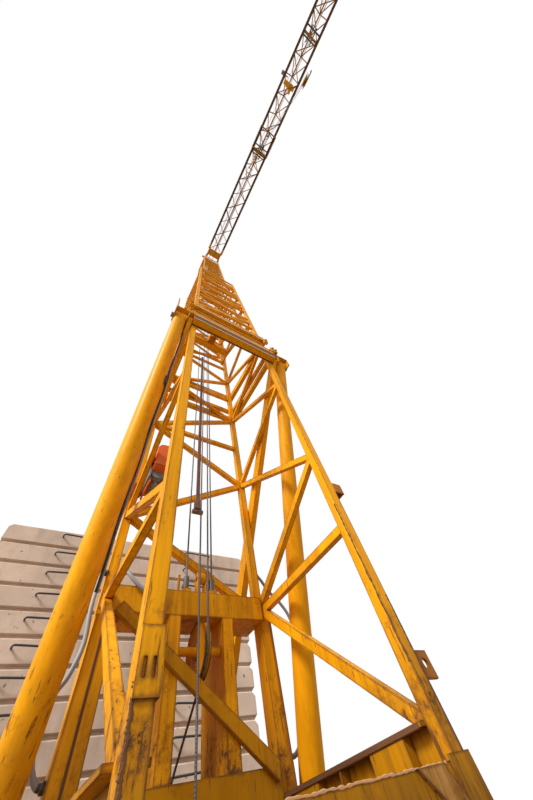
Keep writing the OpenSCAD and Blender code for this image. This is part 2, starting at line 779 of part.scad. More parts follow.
head_front = y_mid - inner_half - inner_leg / 2;
head_back = y_mid + inner_half + inner_leg / 2;
pivot_y = head_front - 90;
pivot_d = 60;
head_wall = 14;
rope_level = jib_z - 62;
head_sheave_y = rope_y - sheave_r;
head_sheave_z = rope_level - sheave_r;
guy_sheave_r = 90;
guy_sheave_y = guy_y + guy_sheave_r;
guy_sheave_z = jib_z - 250;
jib_half = chord_gap / 2;
top_z = jib_z + jib_h;
fold_1 = pivot_y - root_len;
fold_2 = fold_1 - section_len;
fold_3 = fold_2 - section_len;
jib_end = fold_3 - section_len;
front_anchor_z = jib_z - 300;
rear_strut_pin = [y_mid + 300, jib_z + 480];
rear_tip = [y_mid + 2300, jib_z + 2350];
front_tip = [fold_1 + 400, jib_z + 2250];
tip_pin_d = 40;

module tower_head() color("orange") {
    wall = head_wall;
    out = inner_half + inner_leg / 2;
    difference() {
        union() {
            block([-out, head_front, inner_top], [out, head_back, jib_z + 300]);
        }
        block([-out + wall, head_front + wall, inner_top - 1], [out - wall, head_back - wall, jib_z + 301]);
        // Opening in each side plate
        block([-2 * out, y_mid - 260, jib_z - 440], [2 * out, y_mid + 180, jib_z - 290]);
        // Slot for the hoist rope in the front plate
        block([rope_x - 40, head_front - 1, rope_level - 60],
            [rope_x + 40, head_front + wall + 1, rope_level + 50]);
    }
    block([front_rope_x - 30, front_rope_y - 30, front_anchor_z + seat],
        [front_rope_x + 30, head_back - wall + 1, front_anchor_z + 60]);
    // Outrigger bracket on the left of the front plate
    block([-out - 130, head_front + 60, jib_z - 40], [-out + 1, head_front + 160, jib_z + 40]);
    // Axles of the hoist rope's head sheave and of the guy ropes' sheaves
    bar_x(-out + wall - 1, out - wall + 1, head_sheave_y, head_sheave_z, axle_d);
    for (x = guy_x) {
        for (dx = [-52, 32]) in_side_plane(x + dx + 10, 20) polygon([
            [head_back - 1, guy_sheave_z - 160], [head_back - 1, guy_sheave_z + 120],
            [guy_sheave_y + 40, guy_sheave_z + 50], [guy_sheave_y + 40, guy_sheave_z - 50]
        ]);
        bar_x(x - 60, x + 60, guy_sheave_y, guy_sheave_z, axle_d);
    }
    // Lugs of the jib's root pins
    for (s = [-1, 1]) for (x = [chord_gap / 2 - chord_w / 2 - 20 - seat, chord_gap / 2 + chord_w / 2 + seat])
        in_side_plane(s * (x + 10), 20) difference() {
            translate([pivot_y - 60, jib_z - 110]) square([head_front - pivot_y + 61, 190]);
            translate([pivot_y, jib_z]) circle(d = pivot_d + 2 * seat, $fn = 32);
        }
    // Lugs and cross pin of the rear guy strut
    for (s = [-1, 1]) in_side_plane(s * 300, 24) polygon([
        [y_mid - 100, jib_z + 180], [head_back - wall + 1, jib_z + 180], [head_back - wall + 1, jib_z + 300],
        [rear_strut_pin[0] + 60, rear_strut_pin[1] + 50], [rear_strut_pin[0] - 60, rear_strut_pin[1] + 50]
    ]);
    bar_x(-350, 350, rear_strut_pin[0], rear_strut_pin[1], axle_d);
    block([-out + wall - 1, y_mid - 120, jib_z + 160], [out - wall + 1, y_mid + 60, jib_z + 190]);
}

module head_sheaves() color("goldenrod") {
    sheave(rope_x, head_sheave_y, head_sheave_z, sheave_r, axle_d + 2 * seat);
    for (x = guy_x) sheave(x, guy_sheave_y, guy_sheave_z, guy_sheave_r, axle_d + 2 * seat);
}

module jib_root_pins() color("dimgray") {
    for (s = [-1, 1])
        bar_x(s * jib_half - chord_w / 2 - 30, s * jib_half + chord_w / 2 + 30, pivot_y, jib_z, pivot_d);
}

// Jib

rail_w = 52;
rail_t = 10;

// A square bar from a to b
module strut3d(a, b, w) {
    d = b - a;
    flat = norm([d[0], d[1]]);
    translate(a) rotate([0, 0, atan2(d[1], d[0])]) rotate([0, atan2(flat, d[2]), 0])
        translate([-w / 2, -w / 2, 0]) cube([w, w, norm(d)]);
}

// One section of the jib between y0 and y1, with whole bays and end frames
module jib_section(y0, y1, bays) {
    bay = (y0 - y1) / bays;
    for (s = [-1, 1]) block([s * jib_half - chord_w / 2, y1, jib_z - chord_w / 2],
        [s * jib_half + chord_w / 2, y0, jib_z + chord_w / 2]);
    // Rail on the outer side of each bottom chord, which the trolley's wheels run on
    for (s = [-1, 1])
        block([min(s * jib_half, s * (jib_half + chord_w / 2 + rail_w)), y1, jib_z - chord_w / 2],
        [max(s * jib_half, s * (jib_half + chord_w / 2 + rail_w)), y0, jib_z - chord_w / 2 + rail_t]);
    translate([0, y0, top_z]) rotate([90, 0, 0]) cylinder(h = y0 - y1, d = top_chord_d, $fn = 32);
    // Bottom zigzag and rungs
    in_level_plane(jib_z - jib_brace / 2 + 1, jib_z + jib_brace / 2 - 1) {
        for (i = [0 : bays - 1]) {
            s = even(i) ? 1 : -1;
            bar2d([s * jib_half, y0 - i * bay - 30], [-s * jib_half, y0 - (i + 1) * bay + 30], jib_brace);
        }
        for (y = [y0 - 25, y1 + 25]) bar2d([-jib_half, y], [jib_half, y], 50);
    }
    // Side braces rise to the top chord in the middle of each bay
    for (i = [0 : bays - 1]) for (s = [-1, 1]) {
        apex = [0, y0 - (i + 0.5) * bay, top_z];
        strut3d([s * jib_half, y0 - i * bay - 40, jib_z], apex, jib_brace);
        strut3d([s * jib_half, y0 - (i + 1) * bay + 40, jib_z], apex, jib_brace);
    }
}

root_box = 400;

module jib_root_section() color("saddlebrown") {
    difference() {
        union() {
            jib_section(pivot_y - root_box, fold_1 + seat, 7);
            for (s = [-1, 1]) {
                bar_x(s * jib_half - chord_w / 2, s * jib_half + chord_w / 2, pivot_y, jib_z, 110);
                block([s * jib_half - chord_w / 2, pivot_y - root_box - 20, jib_z - 55],
                    [s * jib_half + chord_w / 2, pivot_y, jib_z + 55]);
            }
            block([-jib_half + chord_w / 2 - 1, pivot_y - root_box, jib_z - 30],
                [jib_half - chord_w / 2 + 1, head_front - 160, jib_z + 60]);
            for (s = [-1, 1])
                strut3d([s * jib_half, pivot_y - 120, jib_z], [0, pivot_y - root_box - 30, top_z], 50);
            guy_anchor([fold_1 + 900, top_z + 90]);
        }
        for (s = [-1, 1]) bar_x(s * jib_half - 100, s * jib_half + 100, pivot_y, jib_z, pivot_d + 2 * seat);
    }
}

// Lug with a cross pin on the top chord, which a pair of guy rods hangs on
module guy_anchor(p) {
    in_side_plane(0, 24) polygon([
        [p[0] - 120, top_z], [p[0] + 120, top_z], [p[0] + 40, p[1] + 40], [p[0] - 40, p[1] + 40]
    ]);
    bar_x(-guy_pin, guy_pin, p[0], p[1], tip_pin_d);
}

guy_pin = 130;
guy_rod_x = 100;

module jib_middle_sections() color("saddlebrown") {
    jib_section(fold_1, fold_2 + seat, 6);
    jib_section(fold_2, fold_3 + seat, 6);
    guy_anchor([fold_3 + 500, top_z + 90]);
}

module jib_tip_section() color("saddlebrown") jib_section(fold_3, jib_end, 6);

// Hoist rope and trolley rope along the jib
module jib_ropes() color("dimgray") {
    rope_arc(rope_x, [head_sheave_y, head_sheave_z], sheave_r, 0, 90);
    rope_run(rope_x, [head_sheave_y, rope_level], [jib_end + 60, rope_level], rope_d);
    block([rope_x - 40, jib_end + 20, rope_level - 20],
        [rope_x + 40, jib_end + 60, jib_z - jib_brace / 2 + 1]);
}

// Guying of the jib

rear_strut_eye = 2 * axle_d;

module rear_guy_strut() color("orange") difference() {
    union() {
        for (s = [-1, 1]) {
            strut3d([s * 250, rear_strut_pin[0], rear_strut_pin[1]],
                [s * 262, rear_tip[0], rear_tip[1]], 70);
            bar_x(s * 250 - 36, s * 250 + 36, rear_strut_pin[0], rear_strut_pin[1], rear_strut_eye);
        }
        bar_x(-320, 320, rear_tip[0], rear_tip[1], tip_pin_d);
    }
    bar_x(-400, 400, rear_strut_pin[0], rear_strut_pin[1], axle_d + 2 * seat);
}

module front_guy_strut() color("orange") {
    for (s = [-1, 1]) strut3d([s * 60, fold_1 + 20, top_z + 70], [s * 60, front_tip[0], front_tip[1]], 50);
    block([-90, fold_1 + 1, top_z + top_chord_d / 2 + seat], [90, fold_1 + 60, top_z + 90]);
    bar_x(-guy_pin, guy_pin, front_tip[0], front_tip[1], tip_pin_d);
}

// A guy rod in the plane x between two pins at (y, z)
module guy(x, a, b) {
    in_side_plane(x, 16) difference() {
        union() {
            bar2d(a, b, 22);
            for (p = [a, b]) translate(p) circle(d = tip_pin_d + 50, $fn = 32);
        }
        for (p = [a, b]) translate(p) circle(d = tip_pin_d + 2 * seat, $fn = 32);
    }
}

module guy_rods() color("dimgray") {
    for (s = [-1, 1]) {
        guy(s * (guy_rod_x + 18), rear_tip, front_tip);
        guy(s * guy_rod_x, front_tip, [fold_3 + 500, top_z + 90]);
        guy(s * guy_rod_x, rear_tip, [fold_1 + 900, top_z + 90]);
    }
    // The rear guy ropes run on from their sheaves to the strut's tip
    for (x = guy_x) {
        rope_arc(x, [guy_sheave_y, guy_sheave_z], guy_sheave_r, guy_lead + 90, 180);
        difference() {
            union() {
                rope_run(x, [guy_sheave_y, guy_sheave_z] + guy_sheave_r * guy_normal + seat * guy_line,
                    rear_tip, rope_d);
                bar_x(x - 8, x + 8, rear_tip[0], rear_tip[1], tip_pin_d + 40);
            }
            bar_x(x - 9, x + 9, rear_tip[0], rear_tip[1], tip_pin_d + 2 * seat);
        }
    }
}

// Direction from a guy sheave's centre to the point where the rope leaves it
guy_lead = unit_angle([guy_sheave_y, guy_sheave_z], rear_tip)
    - asin(guy_sheave_r / span([guy_sheave_y, guy_sheave_z], rear_tip));
guy_normal = [-sin(guy_lead), cos(guy_lead)];
guy_line = [cos(guy_lead), sin(guy_lead)];

// Trolley, hook block and rope falls

wheel_d = 100;
wheel_w = 36;
wheel_gap = 6;
trolley_y = -trolley_reach;
fall_r = 130;
trolley_sheave_y = fall_r + sheave_r;
trolley_sheave_z = rope_level - rope_d - sheave_r - seat;
trolley_side = jib_half + chord_w / 2 + rail_w + 8;
side_t = 14;
wheel_z = jib_z - chord_w / 2 + rail_t + wheel_d / 2 + seat;
wheel_y = 380;

module trolley_frame() color("orange") {
    for (s = [-1, 1]) {
        block([min(s * trolley_side, s * (trolley_side + side_t)), trolley_y - 515, trolley_sheave_z + 60],
            [max(s * trolley_side, s * (trolley_side + side_t)), trolley_y + 515, wheel_z + 50]);
        for (y = [-wheel_y, wheel_y])
            translate([min(s * (trolley_side + 1), s * (trolley_side - wheel_w - 12)), 0, 0])
            bar_x(0, wheel_w + 13, trolley_y + y, wheel_z, 30);
    }
    // Cross members under the jib, and the plates that hold the rope sheaves
    for (y = [-510, 460]) block([-trolley_side - 1, trolley_y + y, trolley_sheave_z + 61],
        [trolley_side + 1, trolley_y + y + 50, trolley_sheave_z + 121]);
    for (x = [rope_x - 60, rope_x + 44]) block([x, trolley_y - 510, trolley_sheave_z - 60],
        [x + 16, trolley_y + 510, trolley_sheave_z + 62]);
    for (y = [-trolley_sheave_y, trolley_sheave_y])
        bar_x(rope_x - 62, rope_x + 62, trolley_y + y, trolley_sheave_z, axle_d);
}

module trolley_wheels() color("dimgray") {
    for (s = [-1, 1]) for (y = [-wheel_y, wheel_y]) {
        x0 = jib_half + chord_w / 2 + wheel_gap;
        translate([min(s * x0, s * (x0 + wheel_w)), trolley_y + y, wheel_z]) rotate([0, 90, 0])
        difference() {
            cylinder(h = wheel_w, d = wheel_d, $fn = 48);
            translate([0, 0, -1]) cylinder(h = wheel_w + 2, d = 30 + 2 * seat, $fn = 24);
        }
    }
    for (y = [-trolley_sheave_y, trolley_sheave_y])
        sheave(rope_x, trolley_y + y, trolley_sheave_z, sheave_r, axle_d + 2 * seat);
}

hook_sheave_z = hook_z + 480;

module hook_block() color("orange") {
    for (x = [rope_x - 50, rope_x + 34]) in_side_plane(x + 8, 16)
    translate([trolley_y, hook_sheave_z]) intersection() {
        circle(d = 400, $fn = 48);
        translate([-150, -200]) square([300, 400]);
    }
    block([rope_x - 40, trolley_y - 60, hook_sheave_z - 190],
        [rope_x + 40, trolley_y + 60, hook_sheave_z - 160]);
    bar_x(rope_x - 60, rope_x + 60, trolley_y, hook_sheave_z, axle_d);
}

module hook_sheave() color("goldenrod") sheave(rope_x, trolley_y, hook_sheave_z, fall_r, axle_d + 2 * seat);

module hook() color("dimgray") {
    bar_z(rope_x, trolley_y, hook_z + 60, hook_sheave_z - 190 - seat, 50);
    bar_z(rope_x, trolley_y, hook_sheave_z - 230, hook_sheave_z - 190 - seat, 62);
    translate([rope_x, trolley_y, hook_z]) rotate([90, 0, 90]) rotate([0, 0, 90])
        rotate_extrude(angle = 290, $fn = 48) translate([75, 0]) circle(d = 44, $fn = 24);
}

module trolley_rope() color("dimgray") {
    rope_arc(rope_x, [trolley_y - trolley_sheave_y, trolley_sheave_z], sheave_r, 0, 90);
    rope_arc(rope_x, [trolley_y + trolley_sheave_y, trolley_sheave_z], sheave_r, 90, 180);
}

module hook_rope() color("dimgray")
    rope_arc(rope_x, [trolley_y, hook_sheave_z], fall_r, 180, 360);

module hoist_falls() color("dimgray") {
    for (y = [-fall_r, fall_r]) bar_z(rope_x, trolley_y + y, hook_sheave_z, trolley_sheave_z, rope_d);
}

chassis_frame();
outrigger_arms();
jack_spindles();
foot_plates();
slewing_ring_lower();
slewing_ring_upper();
platform_frame();
hoist_winch();
control_cabinet();
ballast_blocks();
mast_left_side();
mast_right_side();
mast_rear_bracing();
mast_front_bracing();
mast_collar();
mast_guide_frame();
rear_crossbeam();
sheave_posts();
rope_sheave();
base_diagonal();
strut_tubes();
rear_struts();
strut_pins();
telescope_motor();
motor_hood();
mast_ropes();
front_rope();
winch_rope();
rear_guy_lower();
inner_left_side();
inner_right_side();
inner_face_bracing();
telescope_block();
tower_head();
head_sheaves();
jib_root_pins();
jib_root_section();
jib_middle_sections();
jib_tip_section();
jib_ropes();
rear_guy_strut();
front_guy_strut();
guy_rods();
trolley_frame();
trolley_wheels();
trolley_rope();
hoist_falls();
hook_block();
hook_sheave();
hook();
hook_rope();
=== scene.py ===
"""Finish of a self-erecting tower crane: worn paint, ropes, cables, loops, wear and the stage."""

import json

import bpy
import numpy as np
from bpy.props import FloatProperty, FloatVectorProperty, PointerProperty
from mathutils import Matrix, Vector


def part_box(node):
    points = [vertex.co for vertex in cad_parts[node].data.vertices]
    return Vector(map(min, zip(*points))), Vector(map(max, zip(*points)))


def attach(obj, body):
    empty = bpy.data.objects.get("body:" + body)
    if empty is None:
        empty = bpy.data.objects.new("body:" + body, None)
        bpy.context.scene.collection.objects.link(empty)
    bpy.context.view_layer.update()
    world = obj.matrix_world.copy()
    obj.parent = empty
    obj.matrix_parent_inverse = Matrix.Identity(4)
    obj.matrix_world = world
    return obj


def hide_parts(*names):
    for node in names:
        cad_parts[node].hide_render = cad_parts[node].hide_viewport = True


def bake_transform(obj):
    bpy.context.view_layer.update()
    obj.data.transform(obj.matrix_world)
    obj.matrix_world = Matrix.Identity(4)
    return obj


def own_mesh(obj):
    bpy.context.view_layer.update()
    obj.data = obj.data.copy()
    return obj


bl_info = {
    "name": "Tower crane finish",
    "version": (1, 0, 0),
    "blender": (4, 5, 0),
    "location": "3D View > Sidebar > Crane",
    "description": "Adds paint, ropes, cables, loops, wear and a stage to the tower crane's frame",
    "category": "Object",
}

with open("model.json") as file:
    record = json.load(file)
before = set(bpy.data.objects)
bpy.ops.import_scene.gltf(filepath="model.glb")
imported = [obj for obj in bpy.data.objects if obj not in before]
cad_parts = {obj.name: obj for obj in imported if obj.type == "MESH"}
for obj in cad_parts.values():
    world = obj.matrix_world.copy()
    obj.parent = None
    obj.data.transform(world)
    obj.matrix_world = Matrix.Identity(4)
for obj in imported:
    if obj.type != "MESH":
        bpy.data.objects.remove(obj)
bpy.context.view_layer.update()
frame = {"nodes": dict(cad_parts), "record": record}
SUPER = "superstructure"
INNER = "inner_mast"
# The running ropes: the CAD node that each stands for and the bodies at its fixed and its moving end
ROPES = {
    "running_falls": ("hoist_falls", "trolley", "hook"),
    "running_mast_rope": ("mast_ropes", SUPER, INNER),
    "running_front_rope": ("front_rope", SUPER, INNER),
    "rear_guy_ropes": ("rear_guy_lower", SUPER, INNER),
}

# Ragged strips on the foot of the mast: start, end, direction across, direction out of the face, half
# width, finish and slot
LEG_FACE = 0.567
RAGGED = {
    "leg_seam": ((LEG_FACE, -1.5205, 2.62), (LEG_FACE, -1.5290, 1.74), (0, 1, 0), (-1, 0, 0), 0.006,
                 "dark_rust_and_shade", "mast_paint"),
    "left_foot_rust": ((-0.626, -1.533, 1.47), (-0.628, -1.533, 1.70), (1, 0, 0), (0, -1, 0), 0.006,
                       "dark_rust_and_shade", "mast_paint"),
    "right_foot_rust": ((0.624, -1.533, 1.47), (0.627, -1.533, 2.02), (1, 0, 0), (0, -1, 0), 0.006,
                        "dark_rust_and_shade", "mast_paint"),
    "beam_top_wear": ((-0.20, -1.533, 1.4575), (0.50, -1.533, 1.4575), (0, 0, 1), (0, -1, 0), 0.0036,
                      "pink_edge", "platform_paint"),
}
# Outline of the right gusset in front of the beam, and how far it reaches along y
GUSSET = ((0.325, 1.457), (0.47, 1.457), (0.535, 1.345), (0.60, 1.262), (0.545, 1.262), (0.44, 1.352))
GUSSET_FRONT, GUSSET_BACK = -1.549, -1.532
# Both ends of the dark strip on the rear left leg that paints the shadow of a gap between its bars
LEG_GAP_SHADOW = ((-0.570, -0.381, 1.62), (-0.570, -0.381, 2.34))
# Dark films on the right side beam's upper flange, dirt on its edge and painted shade on its underside: x,
# z, direction across and width, then their two ends along y and their thickness
SIDE_BEAM = ((0.539, 1.566, (0, 0, 1), 0.016), (0.563, 1.5575, (1, 0, 0), 0.047))
SIDE_BEAM_FRONT, SIDE_BEAM_BACK = -1.45, 1.3
FILM = 0.003
# Bolts at both ends of the front beam: distance from the middle plane, and y and z of each
BOLT_SIDE = 0.645
BOLT_PLACES = [(y, z) for y in (-1.50, -1.40, -1.32) for z in (1.30, 1.40)]

# The left strut, and the share of its length at which its cable starts and at which the cable's joint sits
STRUT_FOOT = (-0.794, -0.3198, 1.50)
STRUT_HEAD = (-0.794, -1.523, 5.27)
STRUT_RADIUS = 0.08
CABLE_START = 0.235
CABLE_JOINT = 0.69
# Points that each hose passes, from the gland that it leaves to the gland that it ends in
HOSES = {
    "left_hose": (
        (-0.636, -0.32, 2.66), (-0.662, -0.34, 2.65), (-0.674, -0.38, 2.57), (-0.676, -0.40, 2.40),
        (-0.656, -0.40, 2.22), (-0.682, -0.39, 2.085), (-0.718, -0.37, 2.02), (-0.728, -0.34, 1.92),
        (-0.715, -0.325, 1.81), (-0.672, -0.32, 1.745), (-0.636, -0.32, 1.735),
    ),
    "right_hose": (
        (0.636, -0.30, 2.79), (0.70, -0.26, 2.79), (0.824, -0.20, 2.718), (0.908, -0.20, 2.646),
        (0.984, -0.20, 2.551), (1.02, -0.20, 2.436), (1.02, -0.20, 2.313), (1.0, -0.20, 2.18),
        (0.95, -0.20, 1.98), (0.86, -0.23, 1.80), (0.76, -0.28, 1.72), (0.663, -0.30, 1.71),
    ),
    "crossbeam_hose": (
        (-0.564, -0.31, 2.70), (-0.553, -0.36, 2.69), (-0.535, -0.41, 2.65), (-0.50, -0.44, 2.60),
        (-0.457, -0.448, 2.554), (-0.393, -0.45, 2.508), (-0.33, -0.45, 2.482), (-0.28, -0.44, 2.475),
        (-0.25, -0.423, 2.475),
    ),
}

# The tackle's bar inside the mast: its place, its two ends, its lower fitting, pin and loose end
TACKLE = (-0.03, -0.47)
TACKLE_BAR = (3.32, 7.1)
TACKLE_FITTING = (3.24, 3.34)
TACKLE_PIN = 3.21

# The lifting loops: both ends of each across the ballast, and the number of blocks
LOOP_ENDS = ((-1.058, -0.678), (0.540, 0.920))
BLOCKS = 11

# The collar: half the length of the bars on its front, and each bar's distance back, height and width
COLLAR_SIDE = 0.63
COLLAR_EDGES = ((0, 5.209, 0.016), (0, 5.392, 0.016), (0.04, 5.482, 0.008),
                (0.05, 5.712, 0.01), (0.04, 6.110, 0.018), (0.04, 6.232, 0.008))
# Dark strips of painted shade and dirt along the collar's recessed rows: distance back, height and width;
# then the height of the strip of painted shade and dirt under its lower edge
COLLAR_SHADE_AND_DIRT = ((0, 5.30, 0.12), (0.04, 5.436, 0.05), (0.04, 6.135, 0.02))
COLLAR_UNDERSIDE = 5.1985
# Upright lugs with a pin: x, y, z, width and height
COLLAR_LUGS = ((0.70, -1.60, 5.66, 0.07, 0.15), (0.775, -1.59, 5.70, 0.045, 0.11),
               (0.645, -1.60, 6.02, 0.06, 0.12), (-0.70, -1.60, 5.52, 0.08, 0.14),
               (-0.775, -1.60, 5.42, 0.10, 0.05), (-0.70, -1.60, 6.02, 0.05, 0.12))
# Plates beside them: start, end, width along y and thickness
COLLAR_PLATES = (((0.64, -1.56, 5.66), (0.80, -1.56, 5.66), 0.07, 0.03),
                 ((-0.80, -1.56, 5.47), (-0.64, -1.56, 5.47), 0.07, 0.03),
                 ((-0.868, -1.60, 5.38), (-0.885, -1.58, 5.98), 0.05, 0.014))

# Places along the jib: where its bright root plates end, its joints, its winch and its lamp
ROOT_PLATES = (-2.25, -2.15)
JIB_JOINTS = (-7.60, -12.80, -17.99)
JIB_WINCH = -10.72
JIB_LAMP = -11.05

# Closed ends: the share to which an end ring shrinks, and the radius in metres that ends a turned profile
SHUT = 1e-3
POLE = 1e-4

# Colours of dirt and rust, with the dark brown of painted shade on the jib's outer bars and the orange of
# its root plates
FOOT_GRIME = (0.24, 0.095, 0.008, 1.0)
GRIME = (0.17, 0.07, 0.006, 1.0)
RUST_RIM = (0.19, 0.06, 0.008, 1.0)
SCRATCH = (0.07, 0.033, 0.012, 1.0)
CHORD_SHADE = (0.075, 0.035, 0.022, 1.0)
ROOT_ORANGE = (0.62, 0.25, 0.015, 1.0)
LUG_RUST = (0.33, 0.115, 0.014, 1.0)
DARK_RUST = (0.035, 0.018, 0.010, 1.0)
PALE_RUST = (0.17, 0.07, 0.025, 1.0)
STEEL_RUST = (0.12, 0.055, 0.03, 1.0)
CONCRETE_RUST = (0.34, 0.20, 0.09, 1.0)
DUST = (0.30, 0.26, 0.20, 1.0)

# The photograph's camera: focal length in pixels of its 800 pixel height, place and directions
FOCAL, PIXELS = 282.58, 800
SENSOR = 36.0
CAMERA = (-0.903, -2.596, 1.370)
CAMERA_RIGHT = Vector((0.84733, -0.5000, -0.17898))
CAMERA_DOWN = Vector((0.35785, 0.78658, -0.50323))
CAMERA_FORWARD = Vector((0.39239, 0.36235, 0.84542))
# Lights: strength, angle, colour and direction
SUNS = {
    "sun": (3.7, 0.25, (1.0, 1.0, 1.0), (0.72, 0.30, -0.62)),
    "side_sun": (1.1, 0.4, (1.0, 0.95, 0.86), (0.88, -0.10, -0.40)),
}
SKY, SKY_STRENGTH = (0.95, 0.97, 1.0, 1.0), 0.74
WHITE = (1.0, 1.0, 1.0, 1.0)
FLOOR_RADIUS = 120.0
# The floor's colour as it lights the crane, and as the camera sees it
FLOOR_LIT, FLOOR_SEEN = (0.30, 0.27, 0.23, 1.0), (0.66, 0.66, 0.66, 1.0)


# Shader expressions


class Value:
    """A shader socket that arithmetic can be written on."""

    def __init__(self, shader, socket):
        self.shader = shader
        self.socket = socket

    def math(self, operation, *others):
        return self.shader.node("ShaderNodeMath", "Value", {"operation": operation}, [self, *others])

    def __add__(self, other):
        return self.math("ADD", other)

    def __sub__(self, other):
        return self.math("SUBTRACT", other)

    def __rsub__(self, other):
        return self.math("MULTIPLY_ADD", -1.0, other)

    def __mul__(self, other):
        return self.math("MULTIPLY", other)

    def step(self, low, high):
        """0 below low, 1 above high, straight in between."""
        return self.shader.node(
            "ShaderNodeMapRange", "Result", {"clamp": True},
            {"Value": self, "From Min": low, "From Max": high},
        )


class Shader:
    """A material's node tree, ending in one Principled BSDF."""

    def __init__(self, name):
        self.material = bpy.data.materials.new(name)
        self.material.use_nodes = True
        self.tree = self.material.node_tree
        self.bsdf = self.tree.nodes["Principled BSDF"]
        self.place = self.node("ShaderNodeTexCoord", "Object")

    def node(self, kind, output, settings=None, inputs=None):
        """Adds a node: its settings first, then values or links for its sockets."""
        made = self.tree.nodes.new(kind)
        for key, value in (settings or {}).items():
            setattr(made, key, value)
        pairs = inputs.items() if isinstance(inputs, dict) else enumerate(inputs or [])
        for key, value in pairs:
            self.feed(made.inputs[key], value)
        return Value(self, made.outputs[output])

    def feed(self, socket, value):
        if isinstance(value, Value):
            self.tree.links.new(value.socket, socket)
        else:
            socket.default_value = value

    def stretched(self, scale):
        """Object coordinates scaled by a factor along each axis."""
        return self.node("ShaderNodeVectorMath", "Vector", {"operation": "MULTIPLY"}, [self.place, scale])

    def noise(self, scale, detail=4.0, rough=0.6, where=None):
        return self.node(
            "ShaderNodeTexNoise", "Fac", {},
            {"Vector": where or self.place, "Scale": scale, "Detail": detail, "Roughness": rough},
        )

    def mix(self, mask, a, b):
        """Colour a where the mask is 0 and b where it is 1."""
        return self.node("ShaderNodeMix", 2, {"data_type": "RGBA"}, {0: mask, 6: a, 7: b})

    def axis(self, letter):
        """One of the object coordinates X, Y and Z in metres, all measured from the shared origin."""
        return self.node("ShaderNodeSeparateXYZ", letter, {}, [self.place])

    def edges(self, radius):
        """0 on flat faces, rising to 1 where the surface turns sharply within the radius."""
        round_normal = self.node("ShaderNodeBevel", "Normal", {"samples": 4}, {"Radius": radius})
        flat_normal = self.node("ShaderNodeNewGeometry", "True Normal")
        same = self.node(
            "ShaderNodeVectorMath", "Value", {"operation": "DOT_PRODUCT"}, [round_normal, flat_normal]
        )
        return (1.0 - same).step(0.01, 0.16)

    def bump(self, value, strength, distance):
        normal = self.node(
            "ShaderNodeBump", "Normal", {}, {"Height": value, "Strength": strength, "Distance": distance}
        )
        self.feed(self.bsdf.inputs["Normal"], normal)

    def finish(self, **sockets):
        for name, value in sockets.items():
            self.feed(self.bsdf.inputs[name.replace("_", " ")], value)
        return self.material


def rgba(colour, factor=1.0):
    return (colour[0] * factor, colour[1] * factor, colour[2] * factor, 1.0)


def worn_paint(name, colour, rust, chips, dirt, rough=0.42, foot=(1.3, 1.8), foot_wear=0.05,
               chords=None, left_only=False, rusty_beyond=None):
    """Paint with faded areas, rusty chips with a brown rim, worn edges, run marks and scratches.

    rust is how far rust spreads round a chip, chips how much paint is gone and dirt how dark the grime is.
    foot gives the heights between which the heavy wear near the ground fades out, foot_wear its strength.
    chords is the half width from which the jib's outer bars are darker than its braces, a painted shade;
    with it, the plates at the jib's root are bright. left_only keeps the heavy wear and the scratches off
    the right strut, which is much cleaner. rusty_beyond is the distance from the middle plane from which
    the lugs on the right legs are rusty.
    """
    s = Shader(name)
    sideways, height = s.axis("X"), s.axis("Z")
    broad = s.noise(0.8, 3.0, 0.5)
    grain = s.noise(38.0, 5.0, 0.7)
    spots = s.noise(6.5, 8.0, 0.74)
    runs = s.noise(1.0, 5.0, 0.65, s.stretched((20.0, 20.0, 1.3)))
    marks = s.noise(1.0, 4.0, 0.6, s.stretched((70.0, 45.0, 7.0)))
    low = 1.0 - height.step(1.5, 3.4)
    bottom = 1.0 - height.step(*foot)
    edge = s.edges(0.018)
    if left_only:
        left = 1.0 - sideways.step(-0.7, 0.7)
        bottom = bottom * left
        marks = marks - (1.0 - left) * 0.1
    worn = spots * 0.7 + grain * 0.3 + low * 0.02 + bottom * foot_wear + edge * 0.2
    bare = worn.step(0.665 - chips, 0.68 - chips)
    rim = worn.step(0.59 - chips - rust, 0.67 - chips)
    grime = (broad * 0.45 + runs * 0.55 + low * 0.03 + bottom * 0.14 + edge * 0.06).step(0.46, 0.76)
    scuff = (marks + low * 0.02 + bottom * 0.06).step(0.64, 0.70)
    paint = s.mix(broad.step(0.36, 0.64), rgba(colour, 0.88), rgba(colour, 1.04))
    paint = s.mix(bottom * (foot_wear * 1.5), paint, FOOT_GRIME)
    paint = s.mix(grime * dirt, paint, GRIME)
    paint = s.mix(rim * 0.65, paint, RUST_RIM)
    paint = s.mix(scuff * 0.75, paint, SCRATCH)
    if chords:
        # The jib's outer bars are darkened to a painted shade
        outer = sideways.math("ABSOLUTE").step(chords - 0.01, chords)
        paint = s.mix(outer * 0.85, paint, CHORD_SHADE)
        paint = s.mix(s.axis("Y").step(*ROOT_PLATES), paint, ROOT_ORANGE)
    if rusty_beyond:
        brackets = sideways.step(rusty_beyond, rusty_beyond + 0.004)
        paint = s.mix(brackets * (grain.step(0.2, 0.5) * 0.35 + 0.6), paint, LUG_RUST)
    metal = s.mix(grain.step(0.4, 0.6), DARK_RUST, PALE_RUST)
    s.bump(grain * 0.3 - bare, 0.3, 0.002)
    s.bsdf.inputs["Specular IOR Level"].default_value = 0.08
    return s.finish(
        Base_Color=s.mix(bare, paint, metal), Roughness=(rim + bare).step(0.0, 2.0) * 0.35 + rough
    )


def bare_steel(name, colour, rust, metallic=0.7):
    """Plain steel with soft brown rust patches."""
    s = Shader(name)
    spots = s.noise(7.0, 6.0, 0.7)
    grain = s.noise(60.0, 4.0, 0.6)
    brown = spots.step(0.62 - rust, 0.74 - rust)
    body = s.mix(grain.step(0.3, 0.7), rgba(colour, 0.8), rgba(colour, 1.15))
    s.bump(grain, 0.15, 0.001)
    return s.finish(
        Base_Color=s.mix(brown, body, STEEL_RUST),
        Roughness=brown * 0.3 + 0.42, Metallic=(1.0 - brown) * metallic,
    )


